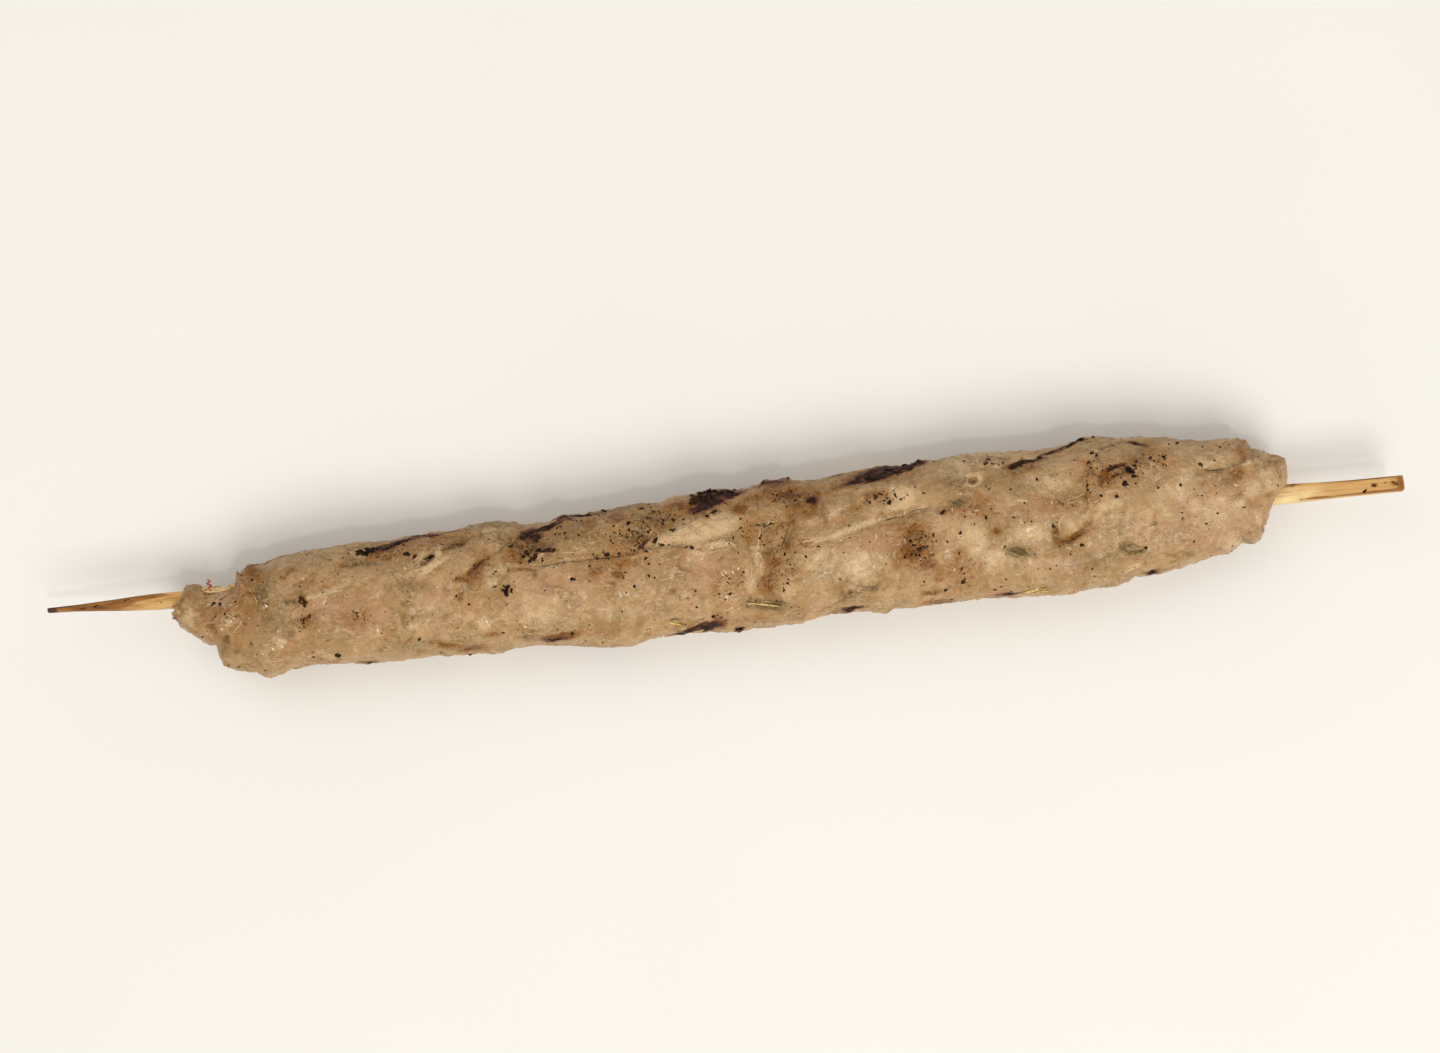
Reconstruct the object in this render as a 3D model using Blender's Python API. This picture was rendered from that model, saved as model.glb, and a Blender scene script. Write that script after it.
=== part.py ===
"""A minced-meat kebab, grilled on a square bamboo stick and lying on its flatter side.

Lengths are in millimetres until the meshes are made metres by MM. The kebab is drawn with x measured
from the middle of the stick towards its blunt end, y from the stick's axis towards the far side, and
z up from the surface that the meat lies on. The last step sets the origin under the middle of it all.
"""

import math

import bmesh
import bpy
import numpy as np
from mathutils import Matrix, Vector, noise
from mathutils.bvhtree import BVHTree

MM = 0.001

# The stick: square bamboo, pointed at one end and sawn off at the other, turned a little about its length.
STICK_LENGTH = 250.0
STICK_WIDTH = 2.75
STICK_DEPTH = 2.6
STICK_HEIGHT = 9.6
STICK_ROLL = math.radians(-12)
STICK_EDGE_ROUNDING = 0.3
STICK_SEGMENTS = 50
STICK_WAVER, STICK_WAVER_LENGTH = 0.07, 23.0
# Along the stick: its share of the full thickness and how far its middle strays to the far side. It comes
# to a point at one end, and is thicker with fat where it leaves the meat at the other.
STICK_TAPER = [
    (-125, 0.3, 0.3), (-120, 0.4, 0.27), (-115, 0.6, 0.18), (-110, 0.82, 0.1), (-104, 1.0, 0.03),
    (94, 1.0, -0.1), (102, 1.22, 0.0), (106, 1.16, 0.0), (112, 1.0, -0.1), (125, 0.98, -0.1),
]

# The meat's outline seen from above: its far and its near edge, from the pointed end to the blunt one.
FAR_EDGE = [
    (-103.2, -2.9), (-101.6, -0.7), (-100.4, 1.4), (-99.4, 2.5), (-96.2, 2.5), (-94.6, 1.1), (-89.6, 1.1),
    (-88.9, 4.2), (-84.0, 5.9), (-75.0, 6.9), (-66.0, 7.7), (-60.5, 7.2), (-52.0, 7.8), (-43.5, 9.0),
    (-35.5, 7.7), (-28.5, 8.9), (-24.0, 8.4), (-15.0, 9.6), (-11.0, 9.2), (-5.0, 10.2), (3.0, 10.3),
    (10.0, 11.6), (18.0, 10.9), (25.0, 11.8), (31.0, 12.4), (40.0, 12.4), (54.0, 12.6), (63.0, 12.9),
    (69.0, 13.8), (76.0, 12.9), (82.0, 12.5), (90.0, 11.4), (95.6, 11.4), (98.0, 9.3), (101.5, 7.8),
    (103.4, 6.3), (104.2, 3.9),
]
NEAR_EDGE = [
    (-103.2, -2.9), (-101.5, -4.6), (-99.0, -7.2), (-97.0, -8.7), (-94.7, -9.2), (-94.2, -12.3),
    (-92.0, -13.4), (-88.0, -14.1), (-86.0, -15.6), (-83.5, -15.7), (-80.0, -14.6), (-75.0, -14.2),
    (-67.0, -14.6), (-60.0, -15.0), (-50.0, -14.7), (-44.0, -15.4), (-37.0, -14.6), (-30.0, -15.2),
    (-25.0, -16.1), (-18.0, -16.4), (-12.0, -14.7), (-4.0, -14.6), (6.0, -15.4), (14.0, -14.9),
    (18.5, -13.8), (27.5, -14.9), (31.0, -14.1), (42.0, -14.1), (48.0, -13.6), (55.0, -14.2),
    (62.5, -14.6), (67.0, -13.6), (70.0, -13.9), (77.0, -12.3), (84.0, -11.2), (90.0, -9.9), (93.5, -9.4),
    (95.0, -8.1), (98.0, -8.3), (99.2, -7.0), (100.4, -3.4), (102.0, -0.3), (104.2, 3.9),
]
# Its upper and its lower line seen from the side.
CREST = [
    (-103.2, 9.9), (-101.8, 12.4), (-98.5, 14.9), (-96.6, 14.4), (-93.0, 15.6), (-88.0, 16.4),
    (-84.0, 17.8), (-68.0, 18.8), (-46.0, 18.2), (-30.0, 19.2), (-15.0, 18.6), (-4.0, 19.6), (7.0, 18.7),
    (22.0, 19.8), (36.0, 18.9), (50.0, 19.8), (62.0, 20.3), (70.0, 19.4), (84.0, 19.6), (94.0, 18.3),
    (98.5, 17.2), (101.5, 15.2), (103.3, 12.8), (104.2, 10.0),
]
BELLY = [
    (-103.2, 9.1), (-101.5, 6.2), (-97.5, 3.6), (-92.0, 1.0), (-86.0, -0.9), (-60.0, -1.1), (-20.0, -0.9),
    (20.0, -1.1), (60.0, -1.2), (90.0, -0.8), (96.0, 0.4), (99.5, 1.9), (102.0, 4.2), (103.5, 6.9),
    (104.2, 9.4),
]
LEFT_END, RIGHT_END = CREST[0][0], CREST[-1][0]
CORNER_ROUNDING = 0.9
WIDEST_SHARE = 0.46
SECTION_FULLNESS = 2.25
RINGS = 104
SIDES = 50
END_BUNCHING = 0.6
# The relief fades to nothing over this share of the length at both ends.
END_FADE = 0.08

# Unevenness from mincing and pressing: the size of the lumps and how far they stand out.
LUMPS = [(15.0, 0.5), (7.0, 0.55), (3.6, 0.32)]
CRAG_SIZE, CRAG_HEIGHT, CRAG_LEVEL = 5.0, 0.5, 0.25
# Share of it left on the far and the near edge, so that the outline stays as drawn.
EDGE_SHARE = 0.45
NOISE_SHIFT = Vector((31.7, 12.4, 57.9))

# What is given as seen from above is seen by an eye this far over the stick's middle.
EYE_HEIGHT = 514.5
# The relief of the upper side reaches its full height this far up the section, as a share of its half.
TOP_BLEND = 0.4
# Creases seen from above: the line that each follows, its depth and its half width.
CREASES = [
    ([(-97.0, 0.0), (-96.6, -4.0), (-94.3, -8.0)], 1.1, 1.2),
    ([(-88.8, 1.5), (-86.5, -1.0), (-85.2, -4.5)], 0.7, 1.1),
    ([(-75.0, 4.0), (-69.0, 3.4), (-62.0, 3.6)], 0.4, 0.9),
    ([(-49.0, -4.5), (-46.0, 0.0), (-43.0, 3.0)], 0.6, 1.3),
    ([(-54.0, 6.6), (-46.0, 6.5), (-38.0, 7.0)], 0.6, 0.9),
    ([(-39.0, 0.3), (-25.0, -0.2), (-15.0, 0.6), (-9.0, 1.6)], 0.4, 0.9),
    ([(-36.0, 7.0), (-33.0, 5.0), (-29.0, 6.0)], 0.5, 1.0),
    ([(7.0, -9.5), (7.4, -4.0), (9.5, 0.0), (12.5, 3.5), (15.5, 7.0)], 0.6, 1.6),
    ([(2.0, 2.0), (6.0, 2.2), (10.0, 4.0)], 0.4, 0.9),
    ([(23.0, 0.8), (30.0, 2.4), (38.0, 3.4)], 0.6, 1.0),
    ([(24.0, 8.8), (31.0, 9.6), (38.0, 11.4)], 0.7, 0.9),
    ([(34.0, 0.0), (35.5, -4.0), (38.5, -8.0), (40.0, -11.0)], 0.5, 1.4),
    ([(52.0, 9.6), (59.0, 11.0), (66.0, 12.6)], 0.6, 0.9),
    ([(60.0, -1.5), (60.8, -4.6), (64.6, -4.2), (67.0, -2.2), (68.0, 1.0)], 0.9, 0.9),
    ([(56.0, -7.3), (61.0, -5.2)], 0.4, 0.8),
    ([(68.0, 3.0), (70.5, 6.0), (74.0, 8.0)], 0.5, 1.2),
    ([(74.0, 12.6), (79.0, 11.4)], 0.6, 0.8),
    ([(87.0, 6.4), (91.0, 5.5), (94.0, 6.6), (97.5, 9.0)], 0.8, 0.9),
    ([(91.0, -7.5), (94.8, -6.0), (95.6, -8.5)], 0.7, 0.9),
    ([(100.5, 6.5), (100.0, 2.5), (98.5, -2.0)], 0.6, 1.0),
]
# Bumps and pits seen from above: where, the half length along x, the half width, the turn in degrees
# and the height, which is negative for a pit.
BUMPS = [
    (-100.0, -1.0, 2.2, 3.0, 0, 0.7), (-92.5, -3.0, 2.6, 2.6, 0, 0.5), (-93.0, -8.2, 1.3, 1.1, 0, -0.9),
    (-91.0, -10.6, 1.4, 1.0, 20, -0.7), (-85.3, -3.4, 0.9, 1.5, -15, -0.9), (-81.6, -8.0, 1.8, 1.2, -35, -0.8),
    (-84.5, -12.8, 4.0, 2.0, 0, 0.6), (-80.0, 3.0, 4.0, 1.6, 15, 0.5), (-66.0, 1.0, 7.0, 2.0, 0, 0.4),
    (-54.8, 3.0, 2.2, 1.1, 35, -1.0), (-43.0, 7.9, 5.0, 0.9, 0, 0.4), (-35.0, 2.3, 2.0, 1.4, 25, -0.6),
    (-22.0, 6.2, 4.5, 1.6, 0, 0.5), (-20.0, -13.6, 7.0, 2.2, 0, 0.6), (-6.0, 3.4, 3.4, 1.5, 15, 0.7),
    (-0.5, 0.5, 2.6, 0.9, 5, 0.6), (3.0, 5.5, 3.5, 2.0, 10, 0.5), (5.0, -4.0, 1.4, 3.6, -15, 0.5),
    (20.0, 4.5, 4.0, 2.2, 20, 0.6), (16.0, -7.0, 5.5, 3.5, 0, 0.5), (32.5, 7.0, 4.0, 1.8, 15, 0.6),
    (46.5, 7.8, 1.1, 1.0, 0, -1.0), (43.8, 4.0, 2.4, 1.4, 10, -0.5), (46.0, -4.5, 3.5, 3.5, 0, 0.5),
    (54.0, -5.6, 2.6, 1.2, -15, -0.5), (55.0, -1.5, 4.0, 2.2, 15, 0.5), (63.2, -0.5, 2.4, 3.4, 25, 1.1),
    (65.0, 9.6, 4.0, 1.6, 10, 0.5), (74.6, -7.3, 2.1, 1.2, 0, -1.0), (79.0, -1.0, 5.0, 3.0, 0, 0.4),
    (84.0, 4.5, 4.0, 2.4, 10, 0.5), (94.5, 4.2, 1.6, 1.2, 20, -0.6), (98.0, 1.0, 2.2, 3.0, 0, 0.6),
    (92.0, -3.0, 4.0, 2.0, 10, 0.5), (97.4, -6.4, 1.6, 1.4, 0, 0.7), (102.2, 5.0, 1.2, 1.8, 15, 0.6),
]

# Charred crumbs that stand on the meat: where, the half length, the half width and the turn in degrees.
CRUMBS = [
    (-66.6, 5.3, 0.9, 0.6, 10), (-65.2, 5.7, 0.8, 0.55, -15), (-58.5, 4.5, 0.6, 0.45, -30),
    (-54.0, 3.6, 0.5, 0.45, 30), (-78.4, -2.2, 0.4, 0.9, -10), (-72.7, -12.8, 0.6, 0.3, 0),
    (-41.0, -4.4, 0.6, 0.5, 30), (-40.2, -3.4, 0.5, 0.35, 40), (-36.6, 2.3, 0.6, 0.45, 35),
    (-34.6, 2.3, 0.45, 0.9, -40), (-32.2, 2.7, 0.8, 0.35, 0), (-12.7, 2.6, 0.6, 0.35, 40),
    (-6.3, 0.6, 0.45, 0.35, 0), (-1.4, 6.8, 0.6, 0.3, 20), (43.0, -10.3, 0.5, 0.4, 30),
    (60.6, -1.7, 0.35, 0.45, 0), (69.0, 10.7, 0.8, 0.35, -35), (75.1, 7.2, 0.7, 0.45, -35),
    (74.3, 4.6, 0.5, 0.6, 0), (88.4, 6.9, 0.5, 0.35, -20), (30.6, 5.4, 0.5, 0.35, -30),
]
CRUMB_HEIGHT = 0.42
# Dry herb needles pressed into the top: the two ends of each.
NEEDLES = [
    ((3.4, -10.3), (9.0, -11.7)), ((-12.2, -12.3), (-8.8, -13.4)), ((52.5, -13.5), (57.8, -12.9)),
    ((7.2, 3.2), (10.4, 4.2)), ((72.6, -11.3), (74.8, -10.6)),
]
NEEDLE_RADIUS = 0.3
BORE_GAP = 0.3


def line_at(points, x):
    """Where a line through the points lies at x, its corners rounded a little."""
    places, values = zip(*points)
    around = x + np.linspace(-CORNER_ROUNDING, CORNER_ROUNDING, 5)
    return float(np.mean(np.interp(around, places, values)))


def distance_to_path(point, path):
    """How far a point seen from above is from a line of straight stretches."""
    best = math.inf
    for start, end in zip(path, path[1:]):
        a, b = Vector(start), Vector(end)
        along = max(0.0, min(1.0, (point - a).dot(b - a) / (b - a).length_squared))
        best = min(best, (point - a.lerp(b, along)).length)
    return best


def bump_share(point, bump):
    """1 at the middle of a bump, falling to 0 around it."""
    x, y, half_length, half_width, turn, _ = bump
    local = Matrix.Rotation(-math.radians(turn), 2) @ (point - Vector((x, y)))
    return math.exp(-((local.x / half_length) ** 2) - (local.y / half_width) ** 2)


def lump_height(place):
    """The unevenness of minced meat at a place in space."""
    height = sum(tall * noise.noise(place / size + NOISE_SHIFT) for size, tall in LUMPS)
    crag = noise.noise(place / CRAG_SIZE - NOISE_SHIFT)
    return height + CRAG_HEIGHT * (abs(crag) - CRAG_LEVEL)


def top_relief(place):
    """Creases, bumps and pits on the side that faces up."""
    seen = Vector((place.x, place.y)) * EYE_HEIGHT / (EYE_HEIGHT - (place.z - STICK_HEIGHT))
    height = sum(bump[-1] * bump_share(seen, bump) for bump in BUMPS)
    for path, depth, half_width in CREASES:
        height -= depth * math.exp(-((distance_to_path(seen, path) / half_width) ** 2))
    return height


def station(share):
    """x along the roll for a share of its length, the rings closer together towards both ends."""
    even = 2 * share - 1
    rounded = -math.cos(math.pi * share)
    along = (1 - END_BUNCHING) * even + END_BUNCHING * rounded
    return (LEFT_END + RIGHT_END) / 2 + along * (RIGHT_END - LEFT_END) / 2


def meat_point(share, angle):
    """A point on the meat's skin: share along the roll, angle round it from the far side over the top."""
    x = station(share)
    far, near = line_at(FAR_EDGE, x), line_at(NEAR_EDGE, x)
    crest, belly = line_at(CREST, x), line_at(BELLY, x)
    middle = Vector((x, (far + near) / 2, belly + WIDEST_SHARE * (crest - belly)))
    across, up = math.cos(angle), math.sin(angle)
    swell = (abs(across) ** SECTION_FULLNESS + abs(up) ** SECTION_FULLNESS) ** (-1 / SECTION_FULLNESS)
    reach_up = crest - middle.z if up > 0 else middle.z - belly
    skin = middle + Vector((0, across * swell * (far - near) / 2, up * swell * reach_up))
    outward = Vector((0, across, up))
    height = lump_height(skin) * (EDGE_SHARE + (1 - EDGE_SHARE) * abs(up))
    if up > 0:
        height += top_relief(skin) * min(1.0, up / TOP_BLEND)
    skin += outward * height * min(1.0, share / END_FADE, (1 - share) / END_FADE)
    skin.z = max(skin.z, 0.0)
    return skin


def new_object(name, shape, collection):
    """An object in the collection with the shape as its mesh, made metres."""
    bmesh.ops.scale(shape, vec=(MM, MM, MM), verts=shape.verts)
    mesh = bpy.data.meshes.new(name)
    shape.to_mesh(mesh)
    shape.free()
    made = bpy.data.objects.new(name, mesh)
    collection.objects.link(made)
    return made


def roll_of_meat():
    """A ball with its poles at the two ends, drawn out into the uneven roll."""
    shape = bmesh.new()
    bmesh.ops.create_uvsphere(shape, u_segments=SIDES, v_segments=RINGS, radius=1.0)
    for vertex in shape.verts:
        ball = vertex.co
        share = 1 - math.acos(max(-1.0, min(1.0, ball.z))) / math.pi
        vertex.co = meat_point(share, math.atan2(ball.y, ball.x))
    bmesh.ops.triangulate(shape, faces=shape.faces)
    return shape


def seen_point(x, y, ground):
    """Where the eye's line to a place at the stick's height meets the meat."""
    eye = Vector((0, 0, STICK_HEIGHT + EYE_HEIGHT))
    return ground.ray_cast(eye, (Vector((x, y, STICK_HEIGHT)) - eye).normalized())[0]


def crumb(x, y, half_length, half_width, turn, ground):
    """One charred crumb, half sunk in the meat."""
    shape = bmesh.new()
    bmesh.ops.create_icosphere(shape, subdivisions=1, radius=1.0)
    size = Matrix.Diagonal((half_length, half_width, CRUMB_HEIGHT, 1))
    top = seen_point(x, y, ground)
    place = Matrix.Translation(top) @ Matrix.Rotation(math.radians(turn), 4, "Z") @ size
    bmesh.ops.transform(shape, matrix=place, verts=shape.verts)
    return shape


def needle(start, end, ground):
    """One herb needle, a thin pointed rod that lies half sunk along the meat."""
    ends = [seen_point(*place, ground) for place in (start, end)]
    along = ends[1] - ends[0]
    shape = bmesh.new()
    bmesh.ops.create_cone(
        shape, cap_ends=True, segments=6, radius1=NEEDLE_RADIUS, radius2=NEEDLE_RADIUS / 2, depth=along.length
    )
    turn = along.to_track_quat("Z", "Y").to_matrix().to_4x4()
    bmesh.ops.transform(shape, matrix=Matrix.Translation((ends[0] + ends[1]) / 2) @ turn, verts=shape.verts)
    return shape


def long_edges(shape):
    """The edges that run along the stick."""
    return [e for e in shape.edges if abs(e.verts[0].co.x - e.verts[1].co.x) > STICK_LENGTH / 2]


def stick_shape(grown=0.0):
    """The stick lying along x at its height, or a copy of it that is thicker all round."""
    shape = bmesh.new()
    bmesh.ops.create_cube(shape, size=1.0)
    size = (STICK_LENGTH, STICK_WIDTH + 2 * grown, STICK_DEPTH + 2 * grown)
    bmesh.ops.scale(shape, vec=size, verts=shape.verts)
    bmesh.ops.bevel(
        shape, geom=long_edges(shape), offset=STICK_EDGE_ROUNDING, segments=2, profile=0.5, affect="EDGES", material=-1
    )
    bmesh.ops.subdivide_edges(shape, edges=long_edges(shape), cuts=STICK_SEGMENTS - 1, use_grid_fill=True)
    bmesh.ops.rotate(shape, cent=(0, 0, 0), matrix=Matrix.Rotation(STICK_ROLL, 3, "X"), verts=shape.verts)
    places, shares, strays = zip(*STICK_TAPER)
    for vertex in shape.verts:
        x, y, z = vertex.co
        share = float(np.interp(x, places, shares))
        stray = float(np.interp(x, places, strays))
        waver = STICK_WAVER * noise.noise(Vector((x / STICK_WAVER_LENGTH, 0.5, 0.5)))
        vertex.co = (x, y * share + stray + waver, STICK_HEIGHT + z * min(1.0, share) - waver)
    return shape


def apply_boolean(target, operation, tools):
    """Joins or cuts the target with every object of a collection, then removes those objects."""
    modifier = target.modifiers.new(operation.title(), "BOOLEAN")
    modifier.operation = operation
    modifier.operand_type = "COLLECTION"
    modifier.collection = tools
    graph = bpy.context.evaluated_depsgraph_get()
    target.data = bpy.data.meshes.new_from_object(target.evaluated_get(graph))
    target.modifiers.clear()
    for tool in list(tools.objects):
        bpy.data.objects.remove(tool)
    bpy.data.collections.remove(tools)


def principled(name, colour, roughness):
    material = bpy.data.materials.new(name)
    material.use_nodes = True
    shader = material.node_tree.nodes["Principled BSDF"]
    shader.inputs["Base Color"].default_value = (*colour, 1)
    shader.inputs["Roughness"].default_value = roughness
    shader.inputs["Metallic"].default_value = 0
    return material


def shade(piece, material):
    piece.data.materials.clear()
    piece.data.materials.append(material)
    piece.data.shade_smooth()
    piece.data.set_sharp_from_angle(angle=math.radians(40))


def new_collection(name):
    collection = bpy.data.collections.new(name)
    bpy.context.scene.collection.children.link(collection)
    return collection


def make_meat(kebab):
    """The roll with its crumbs and needles fused on and the stick's bore through it."""
    shape = roll_of_meat()
    ground = BVHTree.FromBMesh(shape)
    meat = new_object("minced_meat", shape, kebab)
    garnish = new_collection("fused_on")
    for number, place in enumerate(CRUMBS):
        new_object(f"crumb_{number}", crumb(*place, ground), garnish)
    for number, ends in enumerate(NEEDLES):
        new_object(f"needle_{number}", needle(*ends, ground), garnish)
    apply_boolean(meat, "UNION", garnish)
    cutters = new_collection("cutters")
    new_object("bore", stick_shape(BORE_GAP), cutters)
    apply_boolean(meat, "DIFFERENCE", cutters)
    meat.data.name = "minced_meat"
    shade(meat, principled("cooked_mince", (0.47, 0.30, 0.16), 0.5))
    return meat


def make_stick(kebab):
    stick = new_object("wooden_stick", stick_shape(), kebab)
    shade(stick, principled("bamboo", (0.62, 0.40, 0.17), 0.6))
    return stick


def set_origin(pieces):
    """Hangs the pieces on an empty that puts the origin under the middle of the whole."""
    bpy.context.view_layer.update()
    corners = [piece.matrix_world @ Vector(corner) for piece in pieces for corner in piece.bound_box]
    lowest, highest = (Vector(pick(values) for values in zip(*corners)) for pick in (min, max))
    frame = bpy.data.objects.new("kebab_frame", None)
    bpy.context.scene.collection.objects.link(frame)
    frame.location = -(lowest + highest) / 2
    frame.location.z = -lowest.z
    for piece in pieces:
        piece.parent = frame


def main():
    for old in list(bpy.data.objects):
        bpy.data.objects.remove(old)
    kebab = new_collection("kebab_skewer")
    set_origin([make_meat(kebab), make_stick(kebab)])


main()
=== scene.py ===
"""Looks of a grilled minced-meat kebab on a square bamboo stick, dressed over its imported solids.

Places on the kebab are given as seen from above, in millimetres: x from the stick's middle towards its
sawn end, y from the stick's axis towards the far side. Everything becomes metres in the row's frame.
"""

import math
import random

import bmesh
import bpy
import numpy as np
from mathutils import Matrix, Vector, noise
from mathutils.bvhtree import BVHTree


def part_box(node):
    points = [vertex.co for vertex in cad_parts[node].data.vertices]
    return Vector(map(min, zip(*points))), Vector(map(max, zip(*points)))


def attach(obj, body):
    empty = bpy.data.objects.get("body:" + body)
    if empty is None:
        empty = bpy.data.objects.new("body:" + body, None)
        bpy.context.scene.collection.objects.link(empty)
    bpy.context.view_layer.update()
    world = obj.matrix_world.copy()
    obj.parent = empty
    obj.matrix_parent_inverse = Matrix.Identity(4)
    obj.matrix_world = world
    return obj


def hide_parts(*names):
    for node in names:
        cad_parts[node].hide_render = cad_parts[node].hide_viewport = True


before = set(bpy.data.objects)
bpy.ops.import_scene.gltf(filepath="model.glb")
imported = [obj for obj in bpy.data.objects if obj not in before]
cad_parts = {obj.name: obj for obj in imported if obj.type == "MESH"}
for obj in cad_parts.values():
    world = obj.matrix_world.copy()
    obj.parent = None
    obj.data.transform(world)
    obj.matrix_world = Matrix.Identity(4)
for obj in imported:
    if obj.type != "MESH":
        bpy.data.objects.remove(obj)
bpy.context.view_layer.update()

MM = 0.001
STICK_LOW, STICK_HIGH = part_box("wooden_stick")
MEAT_LOW, MEAT_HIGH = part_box("minced_meat")
AXIS_X = (STICK_LOW.x + STICK_HIGH.x) / 2
AXIS_Y = (STICK_LOW.y + STICK_HIGH.y) / 2
AXIS_Z = (STICK_LOW.z + STICK_HIGH.z) / 2

# How the picture is taken: the kebab lies turned a little, seen from straight above.
PICTURE_WIDTH = 264.6 * MM
PICTURE_TURN = math.radians(5.453)
LENS = 70.0
SENSOR = 36.0
EYE_HEIGHT = PICTURE_WIDTH * LENS / SENSOR / MM
STICK_IN_PICTURE = Vector((0.965, -3.905)) * MM

# The meat's skin. Lumps and teeth are written as their size and their height.
SKIN_CELL, SKIN_SMOOTHING = 0.44 * MM, 8
WELD_GAP = 0.02 * MM
BORE_REACH = 0.5 * MM
LUMPS = [(6, 0.26), (2.8, 0.2), (1.3, 0.09)]
CREVICE_SIZE, CREVICE_SHARPNESS, CREVICE_DEPTH, CREVICE_PATCHES = 3.4, 0.07, 0.35, 9.0
GRANULE_SIZE, GRANULE_HEIGHT, GRANULE_STEEPNESS = 1.9, 0.14, 2.2
PATCH_FALLOFF = 0.7
CRATER_RIM, CRATER_DEPTH = 0.7, 0.45
CHAR_THICKNESS, CHAR_ROUGHNESS, CHAR_GRAIN = 0.2, 0.35, 0.9
HEIGHT_RANGE = 1.4

# The stick's skin.
STICK_CELL = 0.22 * MM
STICK_FIBRE_SIZE, STICK_FIBRE_STRETCH, STICK_FIBRE_HEIGHT = 0.7, 0.06, 0.05

# Fine creases: the line that each follows, its depth and its half width.
CREASES = [
    ([(-97.6, 2), (-97, -2), (-96.2, -4.6), (-94.8, -6.8)], 0.3, 0.4),
    ([(-88, 0.8), (-87, -0.8), (-85.6, -4)], 0.35, 0.5),
    ([(-90, -7), (-88, -4.6), (-89.4, -1.4)], 0.3, 0.9),
    ([(-87.4, -9.2), (-86, -10.2), (-85, -11.2)], 0.4, 0.3),
    ([(-86, -13), (-83, -13.3), (-80.6, -12.9)], 0.3, 0.3),
    ([(-86.6, -14), (-83.4, -14.4), (-81.4, -13.8)], 0.25, 0.25),
    ([(-79.6, 0.8), (-77.4, 1.4), (-75.6, 2.9)], 0.35, 0.35),
    ([(-76, 6.4), (-70, 3.5), (-63, 3.4)], 0.35, 0.4),
    ([(-69, -1.3), (-66, -1.8), (-63, -1.4)], 0.2, 0.4),
    ([(-54.4, -2.4), (-52, -2.9), (-49.6, -2.8)], 0.2, 0.3),
    ([(-52, 4.6), (-50, 5.2), (-47.6, 5.6)], 0.4, 0.4),
    ([(-41, 0.2), (-36, -0.3), (-30, 0.1)], 0.25, 0.4),
    ([(-30, 0.1), (-23, 0.1), (-17, 0.4)], 0.35, 0.3),
    ([(-17, 0.4), (-14.6, 1.4), (-11.5, 1.5), (-6, 0.8), (-3.4, -0.5)], 0.4, 0.35),
    ([(-12.4, 5.4), (-9, 5), (-6, 4.4)], 0.3, 0.35), ([(-3.4, -0.5), (0, -0.3), (3, -0.2)], 0.35, 0.3),
    ([(26, 1.5), (30, 2.4), (34, 2.6), (37.4, 3.4)], 0.4, 0.35),
    ([(14, 0.2), (18, -0.4), (21, -1)], 0.3, 0.35),
    ([(60.3, -2.4), (60.8, -4.5), (62.8, -4.8), (65.6, -3.6), (67.6, -1.6)], 0.65, 0.45),
    ([(56, -7.1), (59, -6), (61, -5.2)], 0.3, 0.4), ([(75, 12.3), (77, 11.8), (79, 11.3)], 0.45, 0.35),
    ([(88, 6.3), (91, 5.5), (94, 6.5), (97, 7.4)], 0.24, 0.5),
    ([(90.6, -9), (92, -6), (94.6, -6), (95.4, -8.2)], 0.4, 0.4),
    ([(100.3, 6.5), (99.8, 3), (98.6, -1.5)], 0.22, 0.7),
    ([(-52, 6.9), (-46, 6.5), (-40, 7.2)], 0.3, 0.35),
    ([(12.6, 6), (12.2, 2), (9.6, -2), (8.4, -5), (7.4, -8.6)], 0.35, 1.2),
    ([(-49, -4.2), (-46.5, -0.6), (-43.5, 2.6)], 0.35, 0.6),
    ([(3.4, -10.4), (6, -10.9), (9, -11.6)], 0.35, 0.45),
    ([(78.8, -2.4), (79.2, -4.4), (80.8, -5), (83.4, -4.6), (84.2, -2.8)], 0.3, 0.3),
    ([(72.2, -6.8), (73.6, -7.8), (75.4, -8.2), (76.6, -7.7)], 0.55, 0.3),
    ([(17, 6.8), (18, 4.4), (17, 2.4)], 0.3, 0.4),
    ([(24, -9.6), (26.4, -10.4), (27.4, -9.4)], 0.25, 0.4),
    ([(84, -6.6), (88, -5.8), (91, -5)], 0.2, 0.35), ([(85.6, -0.4), (88, -2.4), (89, -4)], 0.2, 0.3),
    ([(94, 2.6), (95, 0.4), (94.6, -2)], 0.2, 0.4), ([(52.6, 9.2), (55.4, 9.8), (58, 9.9)], 0.3, 0.3),
    ([(66, 4.6), (67.2, 2.6), (66.4, 0.6), (64.6, -1.2)], 0.25, 0.5),
    ([(44.4, 3), (47, 3.4), (49.6, 2.8)], 0.2, 0.35), ([(70, 5), (70.4, 6.8), (72.4, 7.8)], 0.35, 0.4),
]
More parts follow.
